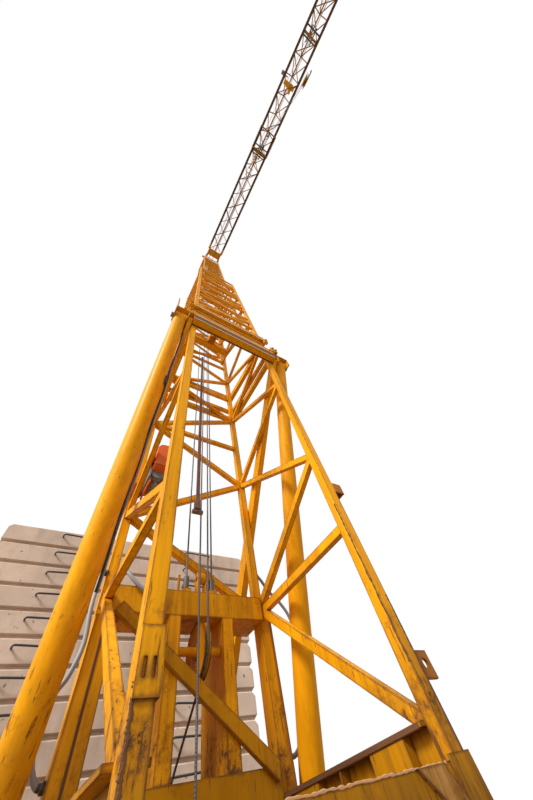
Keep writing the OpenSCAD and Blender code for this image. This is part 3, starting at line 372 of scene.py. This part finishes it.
def wire_rope(name, colour):
    """Greased wire rope: light strands with dark gaps, wound round the rope as slanting bands."""
    s = Shader(name)
    x, y, z = (s.axis(letter) for letter in "XYZ")
    wave = (z * 420.0 + y * 560.0 + x * 560.0).math("SINE")
    strand = wave.step(-0.7, 0.4)
    s.bump(strand, 0.5, 0.0015)
    return s.finish(
        Base_Color=s.mix(strand, rgba(colour, 0.5), rgba(colour, 1.1)),
        Roughness=0.5, Metallic=0.4,
    )


def cast_concrete(name, colour):
    """Concrete with cement blotches, air holes and dark damp runs from the joints."""
    s = Shader(name)
    broad = s.noise(1.6, 5.0, 0.6)
    grain = s.noise(45.0, 6.0, 0.7)
    holes = s.noise(22.0, 2.0, 0.5).step(0.70, 0.73)
    runs = s.noise(1.0, 4.0, 0.6, s.stretched((7.0, 7.0, 0.7))).step(0.5, 0.75)
    tone = s.mix(broad.step(0.35, 0.65), rgba(colour, 0.8), rgba(colour, 1.15))
    rusty = s.noise(2.6, 6.0, 0.7).step(0.60, 0.72)
    tone = s.mix(rusty * 0.35, tone, CONCRETE_RUST)
    tone = s.mix(runs * 0.4, tone, rgba(colour, 0.45))
    tone = s.mix(grain.step(0.55, 0.8) * 0.35, tone, rgba(colour, 0.6))
    tone = s.mix(holes, tone, rgba(colour, 0.3))
    s.bump(grain * 0.5 - holes, 0.5, 0.004)
    return s.finish(Base_Color=tone, Roughness=0.9)


def plain_finish(name, colour, rough, dusty=0.3):
    """A dusty plain finish for rubber, plastic, machine paint and worn edges."""
    s = Shader(name)
    dust = s.noise(14.0, 4.0, 0.6).step(0.45, 0.75)
    s.bump(s.noise(80.0, 2.0, 0.5), 0.1, 0.001)
    return s.finish(Base_Color=s.mix(dust * dusty, rgba(colour), DUST), Roughness=rough)


# Surfaces


def make_piece(name, parts, look, body=SUPER, rounded=False):
    """Joins parts, each (points, faces), to a mesh object at the origin that rides on a body."""
    points, faces = joined(parts)
    mesh = bpy.data.meshes.new(name)
    mesh.from_pydata(points.tolist(), [], faces.tolist())
    mesh.update()
    piece = bpy.data.objects.new(name, mesh)
    bpy.context.scene.collection.objects.link(piece)
    mesh.materials.append(FINISHES[look])
    if rounded:
        mesh.shade_smooth()
    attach(piece, body)
    return piece


def grid_faces(rows, columns):
    """Quads of a grid whose columns close on themselves and whose rows don't."""
    i, j = np.meshgrid(np.arange(rows - 1), np.arange(columns), indexing="ij")
    k = (j + 1) % columns
    quads = np.stack([i * columns + j, i * columns + k, (i + 1) * columns + k, (i + 1) * columns + j], -1)
    return quads.reshape(-1, 4)


def hose(path, radius, sides=12):
    """A circle of the given radius carried along a path, with a pole at each end.

    point(t, a) = path(t) + radius * (cos a * u(t) + sin a * v(t)), where u and v are square to the
    path's direction, and the first and last rings shrink to the path's ends.
    """
    path = np.asarray(path, float)
    path = np.concatenate([path[:1], path, path[-1:]])
    along = np.gradient(path, axis=0)
    along[0], along[-1] = along[1], along[-2]
    along /= np.linalg.norm(along, axis=1)[:, None]
    steady = np.array([0.31, 0.87, 0.38]) if abs(along[:, 2]).mean() < 0.7 else np.array([0.93, 0.36, 0.05])
    u = np.cross(along, steady)
    u /= np.linalg.norm(u, axis=1)[:, None]
    v = np.cross(along, u)
    a = np.linspace(0, 2 * np.pi, sides, endpoint=False)
    size = np.full(len(path), radius)
    size[[0, -1]] = radius * SHUT
    ring = np.cos(a)[None, :, None] * u[:, None] + np.sin(a)[None, :, None] * v[:, None]
    points = path[:, None] + size[:, None, None] * ring
    return points.reshape(-1, 3), grid_faces(len(path), sides)


def bend(knots, steps=4):
    """A smooth curve through knots: at each stretch the cubic whose slopes are half the distance
    between the neighbours on both sides."""
    k = np.asarray(knots, float)
    k = np.concatenate([2 * k[:1] - k[1:2], k, 2 * k[-1:] - k[-2:-1]])
    t = np.linspace(0, 1, steps, endpoint=False)[None, :, None]
    p0, p1, p2, p3 = (k[i:len(k) - 3 + i, None] for i in range(4))
    curve = 0.5 * (2 * p1 + (p2 - p0) * t + (2 * p0 - 5 * p1 + 4 * p2 - p3) * t**2
                   + (3 * p1 - p0 - 3 * p2 + p3) * t**3)
    return np.concatenate([curve.reshape(-1, 3), k[-2:-1]])


def turned(profile, centre, axis, sides):
    """A profile of (distance along the axis, radius) turned round an axis.

    point(s, a) = centre + s * axis + r(s) * (cos a * u + sin a * v), with u and v square to the axis.
    """
    profile = np.asarray(profile, float)
    axis = np.asarray(axis, float) / np.linalg.norm(axis)
    u = np.cross(axis, [0.12, 0.31, 0.94] if abs(axis[2]) < 0.9 else [1.0, 0.0, 0.0])
    u /= np.linalg.norm(u)
    v = np.cross(axis, u)
    a = np.linspace(0, 2 * np.pi, sides, endpoint=False)
    ring = np.cos(a)[:, None] * u + np.sin(a)[:, None] * v
    points = np.asarray(centre) + profile[:, :1, None] * axis + profile[:, 1:, None] * ring
    return points.reshape(-1, 3), grid_faces(len(profile), sides)


def joined(parts):
    """Several (points, faces) as one."""
    offsets = np.cumsum([0] + [len(p) for p, _ in parts[:-1]])
    return (
        np.concatenate([p for p, _ in parts]),
        np.concatenate([f + o for (_, f), o in zip(parts, offsets)]),
    )


def pin(centre, axis, half, radius, sides):
    """A round bar that reaches half its length to both sides of its centre."""
    return turned([(-half, POLE), (-half, radius), (half, radius), (half, POLE)], centre, axis, sides)


def bolt_head(centre, axis, size):
    """A six-sided head on a round washer, standing up along the axis."""
    washer = [(0, size * SHUT), (0, size * 1.15), (size * 0.18, size * 1.15), (size * 0.18, 0)]
    head = [
        (size * 0.18, size * 0.9), (size * 0.85, size * 0.9), (size * 0.95, size * 0.75), (size * 0.95, 0)
    ]
    return joined([turned(washer, centre, axis, 12), turned(head, centre, axis, 6)])


def bar(a, b, across, width, depth):
    """A rectangle carried along a straight line, closed at both ends.

    point(t, k) = a + t * (b - a) + corner(k): the corners lie half a width to both sides along across,
    and half a depth to both sides along the third direction.
    """
    a, b = np.asarray(a, float), np.asarray(b, float)
    along = (b - a) / np.linalg.norm(b - a)
    u = np.asarray(across, float) - np.dot(across, along) * along
    u /= np.linalg.norm(u)
    v = np.cross(along, u)
    corners = np.array([[-width, -depth], [width, -depth], [width, depth], [-width, depth]]) / 2
    ring = corners[:, :1] * u + corners[:, 1:] * v
    points = np.concatenate([a + ring * SHUT, a + ring, b + ring, b + ring * SHUT])
    return points, grid_faces(4, 4)


def prism(outline, low, high):
    """An outline of (x, z) points carried along y from low to high and closed at both ends.

    point(k, y) = (outline_k.x, y, outline_k.z), and the two end rings shrink to the outline's middle.
    """
    outline = np.asarray(outline, float)
    middle = outline.mean(0)
    steps = ((SHUT, low), (1, low), (1, high), (SHUT, high))
    rows = [(middle + (outline - middle) * scale, y) for scale, y in steps]
    points = np.concatenate([np.stack([o[:, 0], np.full(len(o), y), o[:, 1]], 1) for o, y in rows])
    return points, grid_faces(4, len(outline))


def ragged(start, end, across, out, width):
    """A flat strip whose edges wander, lying on a face.

    reach(t) = width * (0.8 + 0.6 |sin 61t sin(23t + 1)| + 0.25 sin 140t), drift(t) = width * 0.25 sin 37t:
    the strip lies that far to both sides of its drifting line, and stands 2 mm out of the face.
    """
    t = np.linspace(0, 1, 90)[:, None]
    start, end, across, out = (np.asarray(v, float) for v in (start, end, across, out))
    teeth = np.abs(np.sin(t * 61.0) * np.sin(t * 23.0 + 1.0))
    reach = width * (0.8 + 0.6 * teeth + 0.25 * np.sin(t * 140.0))
    line = start + (end - start) * t + across * width * 0.25 * np.sin(t * 37.0)
    rows = [line + across * reach * side + out * lift
            for side, lift in ((-1, -0.001), (-0.5, 0.002), (0.5, 0.002), (1, -0.001))]
    rows = np.stack(rows, 1)
    middle = rows.mean(1, keepdims=True)
    rows = np.concatenate([middle[:1] + (rows[:1] - middle[:1]) * SHUT, rows,
                           middle[-1:] + (rows[-1:] - middle[-1:]) * SHUT])
    return rows.reshape(-1, 3), grid_faces(len(rows), 4)


# Sizes and colours


class CraneSizes(bpy.types.PropertyGroup):
    """Sizes that a user would change."""

    cable: FloatProperty(name="Strut cable", description="Diameter of the black cable on the left strut",
                         default=0.016, unit="LENGTH")
    hose: FloatProperty(name="Hose", description="Diameter of the grey hoses", default=0.026, unit="LENGTH")
    rebar: FloatProperty(name="Lifting loop", description="Diameter of the steel loops in the ballast",
                         default=0.018, unit="LENGTH")
    bolt: FloatProperty(name="Bolt", description="Half width of a bolt head", default=0.015, unit="LENGTH")


class CraneColours(bpy.types.PropertyGroup):
    """Colours that a user would change."""

    paint: FloatVectorProperty(name="Crane paint", description="Orange-yellow of the mast and struts",
                               subtype="COLOR", default=(0.90, 0.37, 0.004), min=0, max=1)
    hood: FloatVectorProperty(name="Hood", description="Orange-red of the motor's hood",
                              subtype="COLOR", default=(0.80, 0.16, 0.04), min=0, max=1)
    concrete: FloatVectorProperty(name="Concrete", description="Colour of the ballast",
                                  subtype="COLOR", default=(0.62, 0.48, 0.37), min=0, max=1)


def sizes():
    return bpy.context.scene.crane_sizes


def colours():
    return bpy.context.scene.crane_colours


FINISHES = {}
# Nodes that lie in the shade of others, and have a darker finish than their slot
SHADED = {"base_diagonal": "shaded_paint"}


class CRANE_OT_paint(bpy.types.Operator):
    """Gives every part of the frame its finish"""

    bl_idname = "crane.paint"
    bl_label = "Paint the frame"

    def execute(self, context):
        paint = colours().paint

        def worn(name, share, *values, **more):
            FINISHES[name] = worn_paint(name, [c * share for c in paint], *values, **more)

        worn("mast_paint", 1, 0.02, 0.0, 0.75, 0.42, (1.5, 2.0), 0.10, rusty_beyond=0.636)
        worn("inner_paint", 0.9, 0.02, 0.02, 0.7)
        worn("strut_paint", 1, 0.01, -0.04, 0.5, 0.38, (1.5, 2.3), 0.09, left_only=True)
        worn("chassis_paint", 1, 0.04, 0.02, 0.85)
        worn("platform_paint", 0.52, 0.03, 0.01, 0.95, 0.5, (1.3, 1.5), 0.04)
        worn("collar_paint", 0.9, 0.03, 0.035, 0.7)
        worn("beam_paint", 0.9, 0.05, -0.01, 0.95, 0.5)
        worn("shaded_paint", 0.6, 0.03, 0.0, 0.9, 0.5)
        worn("sheave_paint", 0.85, 0.02, 0.01, 0.8)
        worn("trolley_paint", 0.5, 0.05, 0.02, 0.6)
        FINISHES.update({
            # The jib's brown is partly its own reddish brown and partly painted shade, as it is seen from
            # below against the sky
            "jib_paint": worn_paint("jib_paint", (0.46, 0.20, 0.045), 0.05, 0.01, 0.8, 0.6, chords=0.345),
            "hood_paint": worn_paint("hood_paint", colours().hood, -0.02, -0.06, 0.1, 0.3),
            "worn_brown": worn_paint("worn_brown", (0.62, 0.30, 0.09), 0.05, 0.02, 0.8, 0.6),
            "rubbed_edge": plain_finish("rubbed_edge", (0.85, 0.56, 0.27), 0.6, dusty=0.1),
            "pink_edge": plain_finish("pink_edge", (0.50, 0.25, 0.10), 0.75, dusty=0.4),
            # A dark brown for the rust strips, the seam and dirt, and for painted shade in a gap, along the
            # collar and under a flange
            "dark_rust_and_shade": plain_finish("dark_rust_and_shade", (0.12, 0.042, 0.010), 0.8, dusty=0.02),
            "bare_steel": bare_steel("bare_steel", (0.22, 0.21, 0.20), 0.04),
            "dark_steel": bare_steel("dark_steel", (0.07, 0.06, 0.055), 0.03, 0.4),
            "brown_steel": bare_steel("brown_steel", (0.22, 0.12, 0.085), 0.04, 0.2),
            "rope_steel": wire_rope("rope_steel", (0.16, 0.15, 0.145)),
            "concrete": cast_concrete("concrete", colours().concrete),
            "machine_grey": plain_finish("machine_grey", (0.20, 0.21, 0.21), 0.5),
            "black_rubber": plain_finish("black_rubber", (0.015, 0.015, 0.015), 0.6),
            "hose_grey": plain_finish("hose_grey", (0.30, 0.31, 0.32), 0.5),
        })
        slots = {part["node"]: part["material_slot"] for part in frame["record"]["subparts"]}
        for node, piece in frame["nodes"].items():
            piece.data.materials.clear()
            piece.data.materials.append(FINISHES[SHADED.get(node, slots[node])])
        return {"FINISHED"}


class CRANE_OT_cables(bpy.types.Operator):
    """Adds the black cable on the left strut and the grey hoses beside the mast"""

    bl_idname = "crane.cables"
    bl_label = "Cables and hoses"

    def execute(self, context):
        foot, head = np.array(STRUT_FOOT), np.array(STRUT_HEAD)
        inward = np.array([1.0, 0.0, 0.0])
        t = np.linspace(CABLE_START, 1, 90)[:, None]
        line = foot + (head - foot) * t + inward * (STRUT_RADIUS + 0.012 + 0.004 * np.sin(t * 31.0))
        pale = line + inward * (0.014 + 0.003 * np.sin(t * 17.0)) + np.array([0.0, 0.012, 0.0])
        cable, thick = sizes().cable, sizes().hose
        middle = foot + (head - foot) * CABLE_JOINT
        joint = bar(middle + (0.085, -0.02, -0.05), middle + (0.085, -0.05, 0.06), (1, 0, 0), 0.03, 0.05)
        make_piece("strut_cable", [hose(line, cable / 2)], "black_rubber", rounded=True)
        make_piece("strut_wire", [hose(pale, cable * 0.3, 10)], "hose_grey", rounded=True)
        make_piece("cable_joint", [joint], "black_rubber")
        gland = [(-0.004, POLE), (-0.004, thick * 0.8), (0.012, thick * 0.8),
                 (0.016, thick * 0.56), (0.03, thick * 0.53), (0.03, POLE)]
        glands = []
        for name, knots in HOSES.items():
            path = bend(knots)
            piece = make_piece(name, [hose(path, thick / 2, 16)], "hose_grey", rounded=True)
            for end, inner in ((path[0], path[1]), (path[-1], path[-2])):
                glands.append(turned(gland, end, inner - end, 16))
        make_piece("hose_glands", glands, "dark_steel")
        return {"FINISHED"}


class CRANE_OT_ropes(bpy.types.Operator):
    """Copies each running rope's CAD mesh to a piece of its own and hides the CAD part that it stands for
    """

    bl_idname = "crane.ropes"
    bl_label = "Running ropes"

    def execute(self, context):
        for name, (node, fixed, moving) in ROPES.items():
            piece = bpy.data.objects.new(name, frame["nodes"][node].data.copy())
            context.scene.collection.objects.link(piece)
            low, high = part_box(node)
            ends = [(0, 0, low[2]), (0, 0, high[2])]
            if moving == "hook":
                ends.reverse()
            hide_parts(node)
            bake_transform(piece)
        return {"FINISHED"}


class CRANE_OT_tackle(bpy.types.Operator):
    """Adds the brown flat bar of the telescoping tackle, which hangs inside the mast"""

    bl_idname = "crane.tackle"
    bl_label = "Tackle bar"

    def execute(self, context):
        x, y = TACKLE
        parts = [
            bar((x, y, low), (x, y, high), (1, 0, 0), width, depth)
            for (low, high), width, depth in ((TACKLE_BAR, 0.036, 0.016), (TACKLE_FITTING, 0.06, 0.04))
        ] + [pin((x, y, TACKLE_PIN), (1, 0, 0), 0.05, 0.022, 24)]
        piece = make_piece("tackle_bar", parts, "brown_steel")
        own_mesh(piece)
        return {"FINISHED"}


class CRANE_OT_loops(bpy.types.Operator):
    """Adds the bent steel lifting loops on the front of the ballast blocks"""

    bl_idname = "crane.loops"
    bl_label = "Lifting loops"

    def execute(self, context):
        low, high = (np.array(p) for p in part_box("ballast_blocks"))
        pitch = (high[2] - low[2]) / BLOCKS
        back, out, soft = low[1] + 0.03, low[1] - 0.062, 0.028
        parts = []
        for x0, x1 in LOOP_ENDS:
            for i in range(BLOCKS):
                z = low[2] + (i + 0.63) * pitch
                tilt = 0.006 * np.sin(7.3 * i + x0 * 9)
                knots = [(x0, back, z), (x0, out + soft, z), (x0 + soft * 0.3, out + soft * 0.3, z + tilt),
                         (x0 + soft, out, z + tilt), ((x0 + x1) / 2, out, z), (x1 - soft, out, z - tilt),
                         (x1 - soft * 0.3, out + soft * 0.3, z - tilt), (x1, out + soft, z), (x1, back, z)]
                parts.append(hose(bend(knots), sizes().rebar / 2, 8))
        make_piece("lifting_loops", parts, "dark_steel", rounded=True)
        return {"FINISHED"}


class CRANE_OT_seam(bpy.types.Operator):
    """Adds the ragged rust and wear, the gussets, a dark strip of painted shadow in a gap and dark films of
    dirt and painted shade at the foot of the mast
    """

    bl_idname = "crane.seam"
    bl_label = "Foot of the mast"

    def execute(self, context):
        for name, (start, end, across, out, width, look, slot) in RAGGED.items():
            make_piece(name, [ragged(start, end, across, out, width)], look)
        gussets = [prism([(side * x, z) for x, z in GUSSET], GUSSET_FRONT, GUSSET_BACK) for side in (-1, 1)]
        make_piece("foot_gussets", gussets, "worn_brown")
        # A dark strip that paints the shadow of a gap between bars on the rear left leg
        make_piece("leg_gap_shadow", [bar(*LEG_GAP_SHADOW, (1, 0, 0), 0.013, 0.004)], "dark_rust_and_shade")
        # Dark films on the flange: dirt on its edge and painted shade on its underside
        make_piece("beam_grime_and_shade", [
            bar((x, SIDE_BEAM_FRONT, z), (x, SIDE_BEAM_BACK, z), across, width, FILM)
            for x, z, across, width in SIDE_BEAM
        ], "dark_rust_and_shade")
        return {"FINISHED"}


class CRANE_OT_hood(bpy.types.Operator):
    """Adds the rounded weather cover over the motor of the telescoping winch"""

    bl_idname = "crane.hood"
    bl_label = "Motor cover"

    def execute(self, context):
        low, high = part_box("motor_hood")
        left, right = low[0] + 0.016, high[0] + 0.012
        bottom, top = low[2] - 0.06, high[2] + 0.035
        cover = [(left, bottom), (right, bottom), (right, top - 0.02), (right - 0.015, top - 0.004),
                 (right - 0.035, top), (left + 0.05, top), (left + 0.02, top - 0.012), (left, top - 0.045)]
        parts = [prism(cover, low[1] - 0.05, high[1] + 0.02)]
        for x in (left + 0.007, right - 0.007):
            start, end = (x, low[1] + 0.06, bottom - 0.05), (x, high[1] - 0.05, bottom - 0.05)
            parts.append(bar(start, end, (1, 0, 0), 0.014, 0.12))
        make_piece("hood_cover", parts, "hood_paint")
        return {"FINISHED"}


class CRANE_OT_collar(bpy.types.Operator):
    """Adds the rubbed edges, the dark strips of painted shade and dirt, the brackets and pins on the collar
    round the mast
    """

    bl_idname = "crane.collar"
    bl_label = "Collar fittings"

    def execute(self, context):
        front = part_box("mast_collar")[0][1]

        def crosswise(y, z, across, width, depth):
            return bar((-COLLAR_SIDE, y, z), (COLLAR_SIDE, y, z), across, width, depth)

        edges = [crosswise(front + y - 0.002, z, (0, 0, 1), width, 0.008) for y, z, width in COLLAR_EDGES]
        make_piece("collar_edges", edges, "rubbed_edge")
        # Dark strips of painted shade and dirt along the collar's recessed rows and under its lower edge
        shade_and_dirt = [
            crosswise(front + y - 0.001, z, (0, 0, 1), width, 0.004) for y, z, width in COLLAR_SHADE_AND_DIRT
        ] + [crosswise(front + 0.09, COLLAR_UNDERSIDE, (0, 1, 0), 0.02, 0.006)]
        make_piece("collar_shade_and_dirt", shade_and_dirt, "dark_rust_and_shade")
        parts = []
        for x, y, z, width, height in COLLAR_LUGS:
            parts.append(bar((x, y, z - height / 2), (x, y, z + height / 2), (1, 0, 0), width, 0.05))
            parts.append(pin((x, y, z + height / 4), (0, 1, 0), 0.045, 0.018, 16))
        parts += [bar(start, end, (0, 1, 0), width, depth) for start, end, width, depth in COLLAR_PLATES]
        make_piece("collar_brackets", parts, "collar_paint")
        return {"FINISHED"}


class CRANE_OT_jib_fittings(bpy.types.Operator):
    """Adds the frames at the jib's joints, the trolley winch and the lamp on the jib"""

    bl_idname = "crane.jib_fittings"
    bl_label = "Fittings of the jib"

    def execute(self, context):
        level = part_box("jib_middle_sections")[0][2] + 0.032

        def lengthwise(x, near, far, height, width, depth):
            return bar((x, near, level + height), (x, far, level + height), (1, 0, 0), width, depth)

        def crosswise(left, right, y, height, width, depth):
            return bar((left, y, level + height), (right, y, level + height), (0, 1, 0), width, depth)

        parts = []
        for y in JIB_JOINTS:
            parts += [lengthwise(x, y - 0.34, y + 0.34, 0.06, 0.05, 0.06) for x in (-0.11, 0.11)]
            parts += [crosswise(-0.34, 0.34, y + dy, 0.03, 0.05, 0.05) for dy in (-0.2, 0.2)]
        make_piece("joint_frames", parts, "dark_steel", INNER)
        drum = [(-0.13, POLE), (-0.13, 0.11), (-0.11, 0.11), (-0.11, 0.07), (0.11, 0.07), (0.11, 0.11),
                (0.13, 0.11), (0.13, POLE)]
        make_piece("trolley_winch", [
            turned(drum, (0.0, JIB_WINCH, level + 0.2), (1, 0, 0), 24),
            lengthwise(0.13, JIB_WINCH - 0.14, JIB_WINCH + 0.22, 0.18, 0.12, 0.22),
            crosswise(-0.30, 0.30, JIB_WINCH, 0.055, 0.2, 0.03),
        ], "mast_paint", INNER)
        make_piece("jib_lamp", [
            crosswise(-0.20, -0.50, JIB_LAMP, 0.35, 0.04, 0.04),
            lengthwise(-0.50, JIB_LAMP - 0.07, JIB_LAMP + 0.07, 0.33, 0.16, 0.12),
        ], "machine_grey", INNER)
        return {"FINISHED"}


class CRANE_OT_bolts(bpy.types.Operator):
    """Adds the hexagon bolts at both ends of the front beam"""

    bl_idname = "crane.bolts"
    bl_label = "Bolts"

    def execute(self, context):
        heads = [
            bolt_head((side * BOLT_SIDE, y, z), (side, 0, 0), sizes().bolt)
            for side in (-1, 1) for y, z in BOLT_PLACES
        ]
        make_piece("corner_bolts", heads, "dark_steel")
        return {"FINISHED"}


class CRANE_OT_stage(bpy.types.Operator):
    """Adds the pale floor, the lights and the camera"""

    bl_idname = "crane.stage"
    bl_label = "Stage"

    def execute(self, context):
        scene = context.scene
        scene.view_settings.view_transform = "Standard"

        def placed(name, data):
            made = bpy.data.objects.new(name, data)
            scene.collection.objects.link(made)
            return made

        points, faces = turned([(0, FLOOR_RADIUS), (0, 0.0)], (0, -8, -0.002), (0, 0, 1), 64)
        mesh = bpy.data.meshes.new("floor")
        mesh.from_pydata(points.tolist(), [], faces.tolist())
        floor = placed("floor", mesh)
        pale = bpy.data.materials.new("pale_floor")
        pale.use_nodes = True
        nodes, links = pale.node_tree.nodes, pale.node_tree.links
        surface = nodes["Principled BSDF"]
        surface.inputs["Roughness"].default_value = 0.9
        tint = nodes.new("ShaderNodeMix")
        tint.data_type = "RGBA"
        tint.inputs[6].default_value = FLOOR_LIT
        tint.inputs[7].default_value = FLOOR_SEEN
        links.new(nodes.new("ShaderNodeLightPath").outputs["Is Camera Ray"], tint.inputs[0])
        links.new(tint.outputs[2], surface.inputs["Base Color"])
        mesh.materials.append(pale)

        for name, (strength, angle, colour, direction) in SUNS.items():
            sun = placed(name, bpy.data.lights.new(name, "SUN"))
            sun.data.energy = strength
            sun.data.angle = angle
            sun.data.color = colour
            sun.rotation_euler = Vector(direction).to_track_quat("-Z", "Y").to_euler()

        world = bpy.data.worlds.new("soft_light")
        scene.world = world
        world.use_nodes = True
        nodes, links = world.node_tree.nodes, world.node_tree.links
        background = nodes["Background"]
        background.inputs["Color"].default_value = SKY
        background.inputs["Strength"].default_value = SKY_STRENGTH
        white = nodes.new("ShaderNodeBackground")
        white.inputs["Color"].default_value = WHITE
        rays = nodes.new("ShaderNodeLightPath")
        seen = nodes.new("ShaderNodeMath")
        seen.operation = "MAXIMUM"
        choice = nodes.new("ShaderNodeMixShader")
        for output, target in (
            (rays.outputs["Is Camera Ray"], seen.inputs[0]),
            (rays.outputs["Is Transmission Ray"], seen.inputs[1]),
            (seen.outputs[0], choice.inputs[0]),
            (background.outputs[0], choice.inputs[1]),
            (white.outputs[0], choice.inputs[2]),
            (choice.outputs[0], nodes["World Output"].inputs["Surface"]),
        ):
            links.new(output, target)

        camera = placed("camera", bpy.data.cameras.new("camera"))
        camera.data.sensor_width = SENSOR
        camera.data.lens = FOCAL / PIXELS * SENSOR
        camera.data.clip_start = 0.05
        camera.data.clip_end = 400
        turn = Matrix((CAMERA_RIGHT, -CAMERA_DOWN, -CAMERA_FORWARD)).transposed().to_4x4()
        camera.matrix_world = Matrix.Translation(CAMERA) @ turn
        scene.camera = camera
        return {"FINISHED"}


PIECES = (
    CRANE_OT_paint, CRANE_OT_cables, CRANE_OT_ropes, CRANE_OT_tackle, CRANE_OT_loops, CRANE_OT_seam,
    CRANE_OT_hood, CRANE_OT_collar, CRANE_OT_jib_fittings, CRANE_OT_bolts, CRANE_OT_stage,
)


class CRANE_PT_panel(bpy.types.Panel):
    """Lists the crane's pieces"""

    bl_idname = "CRANE_PT_panel"
    bl_label = "Tower crane"
    bl_space_type = "VIEW_3D"
    bl_region_type = "UI"
    bl_category = "Crane"

    def draw(self, context):
        for group in (context.scene.crane_sizes, context.scene.crane_colours):
            for name in group.__annotations__:
                self.layout.prop(group, name)
        for piece in PIECES:
            self.layout.operator(piece.bl_idname)


CLASSES = (CraneSizes, CraneColours, *PIECES, CRANE_PT_panel)


def register():
    for item in CLASSES:
        bpy.utils.register_class(item)
    bpy.types.Scene.crane_sizes = PointerProperty(type=CraneSizes)
    bpy.types.Scene.crane_colours = PointerProperty(type=CraneColours)


def unregister():
    del bpy.types.Scene.crane_colours
    del bpy.types.Scene.crane_sizes
    for item in reversed(CLASSES):
        bpy.utils.unregister_class(item)


def main():
    register()
    crane = bpy.ops.crane
    for build in (
        crane.paint, crane.cables, crane.ropes, crane.tackle, crane.loops, crane.seam,
        crane.hood, crane.collar, crane.jib_fittings, crane.bolts, crane.stage,
    ):
        build()


if __name__ == "__main__":
    main()
